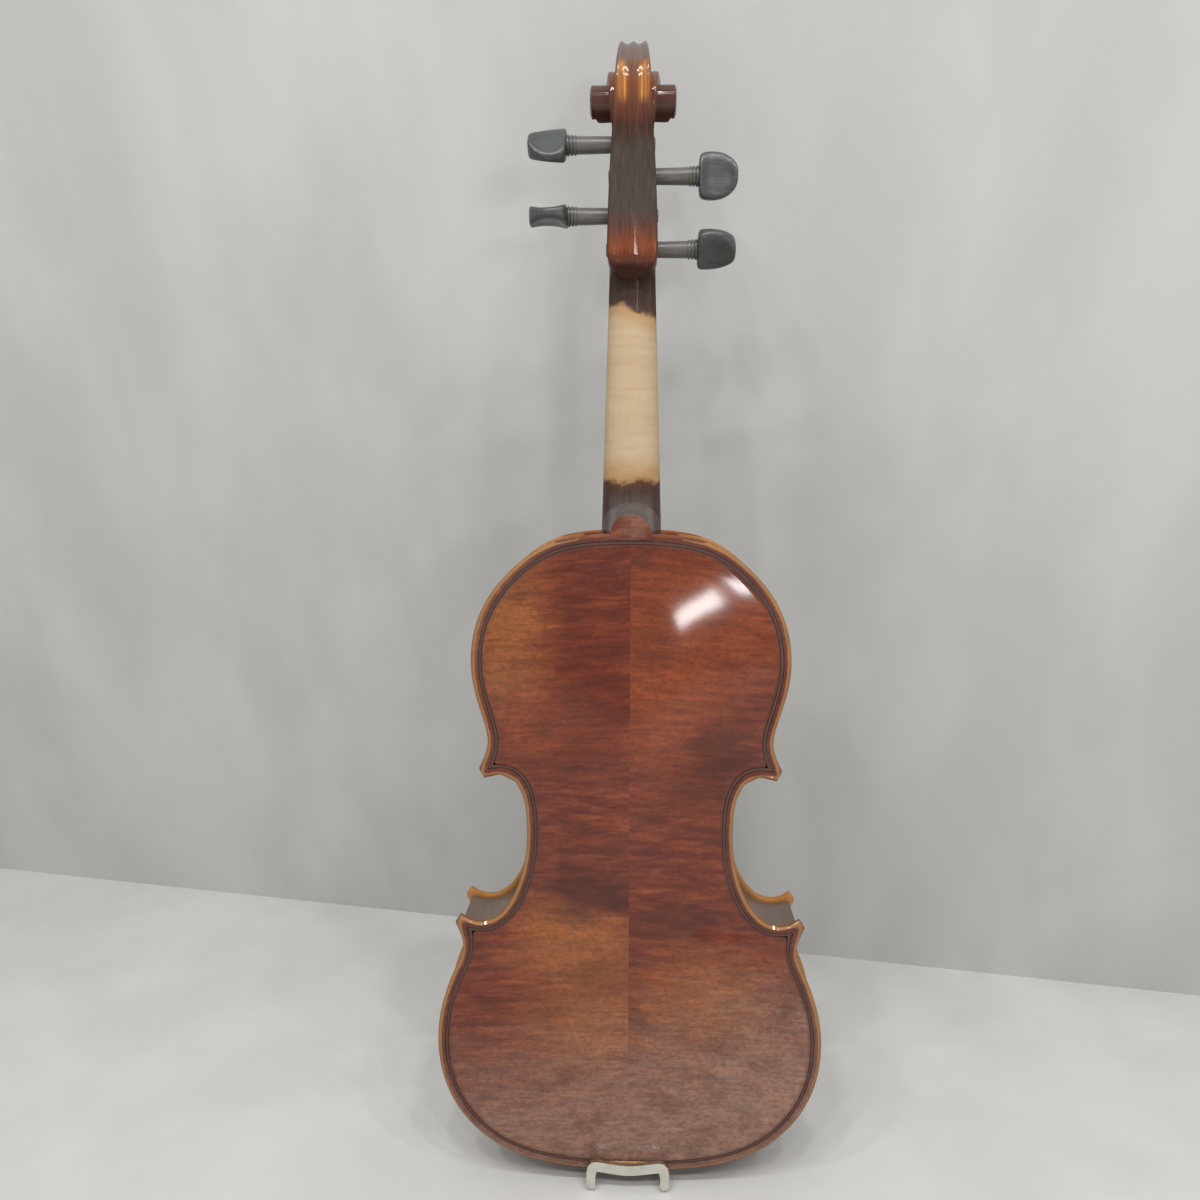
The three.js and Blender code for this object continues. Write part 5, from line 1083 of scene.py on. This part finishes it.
# Fine tuners, tail gut and end button
for name in "gdae":
    for part in ("screw", "knob", "lever"):
        eased(f"tuner_{name}_{part}", nickel, "nickel", 0.18)
refined("tail_gut", nylon, "nylon", sharp=70)
BUTTON = [
    # place along the button, radius
    (9.5, 0), (9.5, 5.2), (9.2, 5.9), (8.55, 6.6), (6.8, 6.75), (5.4, 6.45), (4.8, 5.6), (4.6, 4.7),
    (4.2, 4.35), (2.3, 4.3), (0.6, 5.2), (0, 5.6), (-2.3, 5.6), (-2.3, 3.5), (-17, 3.4), (-17, 0),
]
button_place = Matrix.Translation(body_place(0, 15.5, 0)) @ Matrix.Rotation(math.radians(90), 4, "Y")
placed("end_button_finished", turned(BUTTON, button_place), ebony, "ebony", "end_button")


# Chin rest
def chin_rest():
    """The cup and its arm, with every edge softened."""
    made = placed("chin_rest_finished", copied("chin_rest"), ebony, "ebony", "chin_rest", recalc=False)
    remesh = made.modifiers.new("even mesh", "REMESH")
    remesh.mode = "VOXEL"
    remesh.voxel_size = 0.9 * MM
    remesh.use_smooth_shade = True
    ease = made.modifiers.new("eased", "SMOOTH")
    ease.factor = 0.6
    ease.iterations = 14


chin_rest()
for name in ("chin_rest_cork_bass", "chin_rest_cork_treble", "clamp_foot_cork"):
    eased(name, cork, "cork", 0.2)


# Clamp of the chin rest
def clamp_foot():
    """The foot's plate, with round tips and softened edges."""
    bm = flat_faced("clamp_foot")
    tip_height = min(vert.co.z for vert in bm.verts) + 0.5 * MM
    tips = [edge for edge in bm.edges if all(vert.co.z < tip_height for vert in edge.verts)
            and abs(edge.verts[0].co.x - edge.verts[1].co.x) < 0.05 * MM and edge.calc_length() > 2 * MM]
    bmesh.ops.bevel(bm, geom=tips, offset=2.2 * MM, affect="EDGES", segments=5, profile=0.5, material=-1,
                    clamp_overlap=True)
    made = placed("clamp_foot_finished", bm, nickel, "nickel", "clamp_foot", recalc=False)
    bevelled(made, 0.6, 40, 3)


eased("clamp_bracket", nickel, "nickel", 0.35)
clamp_foot()
BARREL_X, BARREL_Y, BARREL_Z = 20, 18, -5.4
BARREL_END = 8.5
BARREL_RADIUS = 3.3
BARREL_BORE = 1.9
# Each end of a barrel is round, with a groove: steps from the end, and shares of the radius
BARREL_STEPS = [(0, 0.8), (0.5, 0.95), (1.3, 1), (1.9, 1), (2.1, 0.93), (2.3, 1)]
BARREL = [
    (-BARREL_END, BARREL_BORE),
    *((step - BARREL_END, BARREL_RADIUS * share) for step, share in BARREL_STEPS),
    *((BARREL_END - step, BARREL_RADIUS * share) for step, share in BARREL_STEPS[::-1]),
    (BARREL_END, BARREL_BORE), (-BARREL_END, BARREL_BORE),
]
# The cross hole that a key fits, to turn the barrel
KEY_REACH = BARREL_RADIUS * 2
KEY_HOLE = [(-KEY_REACH, 0), (-KEY_REACH, 0.85), (KEY_REACH, 0.85), (KEY_REACH, 0)]
for name, side in (("bass", 1), ("treble", -1)):
    middle = Matrix.Translation(body_place(side * BARREL_X, BARREL_Y, BARREL_Z))
    upright = middle @ Matrix.Rotation(math.radians(90), 4, "Z")
    barrel = placed(f"clamp_barrel_{name}_finished", turned(BARREL, upright), nickel, "nickel",
                    f"clamp_barrel_{name}", sharp=30)
    shaped(barrel, [turned(KEY_HOLE, middle, 16)])

# Output socket; the pickup disc takes its finish below, with the pieces inside the body
eased("socket_barrel", black_plastic, "black_plastic", 0.3)
eased("socket_nut", nickel, "nickel", 0.3)

# The pieces inside the body keep their CAD shapes
blocks = [f"block_{bout}_{half}" for bout in ("lower", "upper") for half in ("bass", "treble")]
for node in ("neck_block", "end_block", "bass_bar", "sound_post", *blocks, "pickup_disc"):
    for material_slot in frame["nodes"][node].material_slots:
        material_slot.material = brass if node == "pickup_disc" else block_spruce


# Floor and wall
def sheet_of(name, corners, tone, mottle, one_sided=False):
    """A plain matt backdrop that takes shadows. One that is one-sided is clear from behind."""
    bm = bmesh.new()
    bm.faces.new([bm.verts.new(Vector(corner) * MM) for corner in corners])
    made = mesh_piece(name, bm, recalc=False)
    plaster, tree, grid = finish_of(name, Roughness=0.9)
    clouds = add(tree, "TexNoise", {"Vector": grid, "Detail": 3}, sizes=(90, 90, 420))
    colour = layered(tree, tone, (clouds, 0.35, 0.65, 1, mottle))
    grit = add(tree, "TexNoise", {"Vector": grid, "Detail": 2}, sizes=(2, 2, 2))
    finished(plaster, colour, grit, 0.2, 0.3)
    if one_sided:
        behind = add(tree, "NewGeometry").outputs["Backfacing"]
        clear = add(tree, "BsdfTransparent")
        both = add(tree, "MixShader", {0: behind, 1: tree.nodes["Principled BSDF"], 2: clear})
        tree.links.new(both.outputs["Shader"], tree.nodes["Material Output"].inputs["Surface"])
    made.data.materials.append(plaster)


WALL_FOOT = Vector((-67.2, 292.7, 0))
WALL_ALONG = Vector((0.9829, -0.1843, 0))
WALL_FRONT = Vector((-0.1843, -0.9829, 0))
WALL_LEAN = 0.35
WALL_REACH = 1500
WALL_HEIGHT = 1400
WALL_SUNK = 20
FLOOR_REACH = 2500


def wall_corner(along, height):
    return WALL_FOOT + WALL_ALONG * along + WALL_FRONT * WALL_LEAN * height + Vector((0, 0, height))


floor_corners = corners_of(-FLOOR_REACH, FLOOR_REACH, -FLOOR_REACH, FLOOR_REACH)
wall_places = corners_of(-WALL_REACH, WALL_REACH, -WALL_SUNK, WALL_HEIGHT)
sheet_of("floor", [(x, y, 0) for x, y in floor_corners], "#CCCBC8", "#D2D1CE")
sheet_of("wall", [wall_corner(*place) for place in wall_places], "#BCBCBA", "#C6C6C4", one_sided=True)
BODY_MIDDLE = Vector((20, 0, 330))


# Light: an even room, a window behind the camera, and small lamps along the ceiling
def lamp(name, place, size, power, size_y=None, roll=0):
    """An area lamp that looks at the body, with its place and size in millimetres."""
    data = bpy.data.lights.new(name, "AREA")
    data.shape = "RECTANGLE"
    data.size = size * MM
    data.size_y = (size_y or size) * MM
    data.energy = power
    made = bpy.data.objects.new(name, data)
    scene.collection.objects.link(made)
    aim = (BODY_MIDDLE - Vector(place)).to_track_quat("-Z", "Y").to_matrix().to_4x4()
    turn = aim @ Matrix.Rotation(math.radians(roll), 4, "Z")
    made.matrix_world = Matrix.Translation(Vector(place) * MM) @ turn


def light_room():
    """The even glow of a bright room, one window and ten ceiling lamps in two rows."""
    world = bpy.data.worlds.new("room")
    scene.world = world
    world.use_nodes = True
    tree = world.node_tree
    tree.nodes.clear()
    glow = add(tree, "Background", {"Color": "#FFFFFF", "Strength": 0.45})
    add(tree, "OutputWorld", {"Surface": glow})
    lamp("window", (520, -1560, 436), 290, 2.6, 86, roll=35)
    for row, y in enumerate((-850, -1400)):
        for i in range(5):
            lamp(f"ceiling_lamp_{row}_{i}", (-760 + 380 * i, y, 1600), 70, 2.8)


light_room()

scene.view_settings.view_transform = "Standard"
bpy.context.view_layer.update()
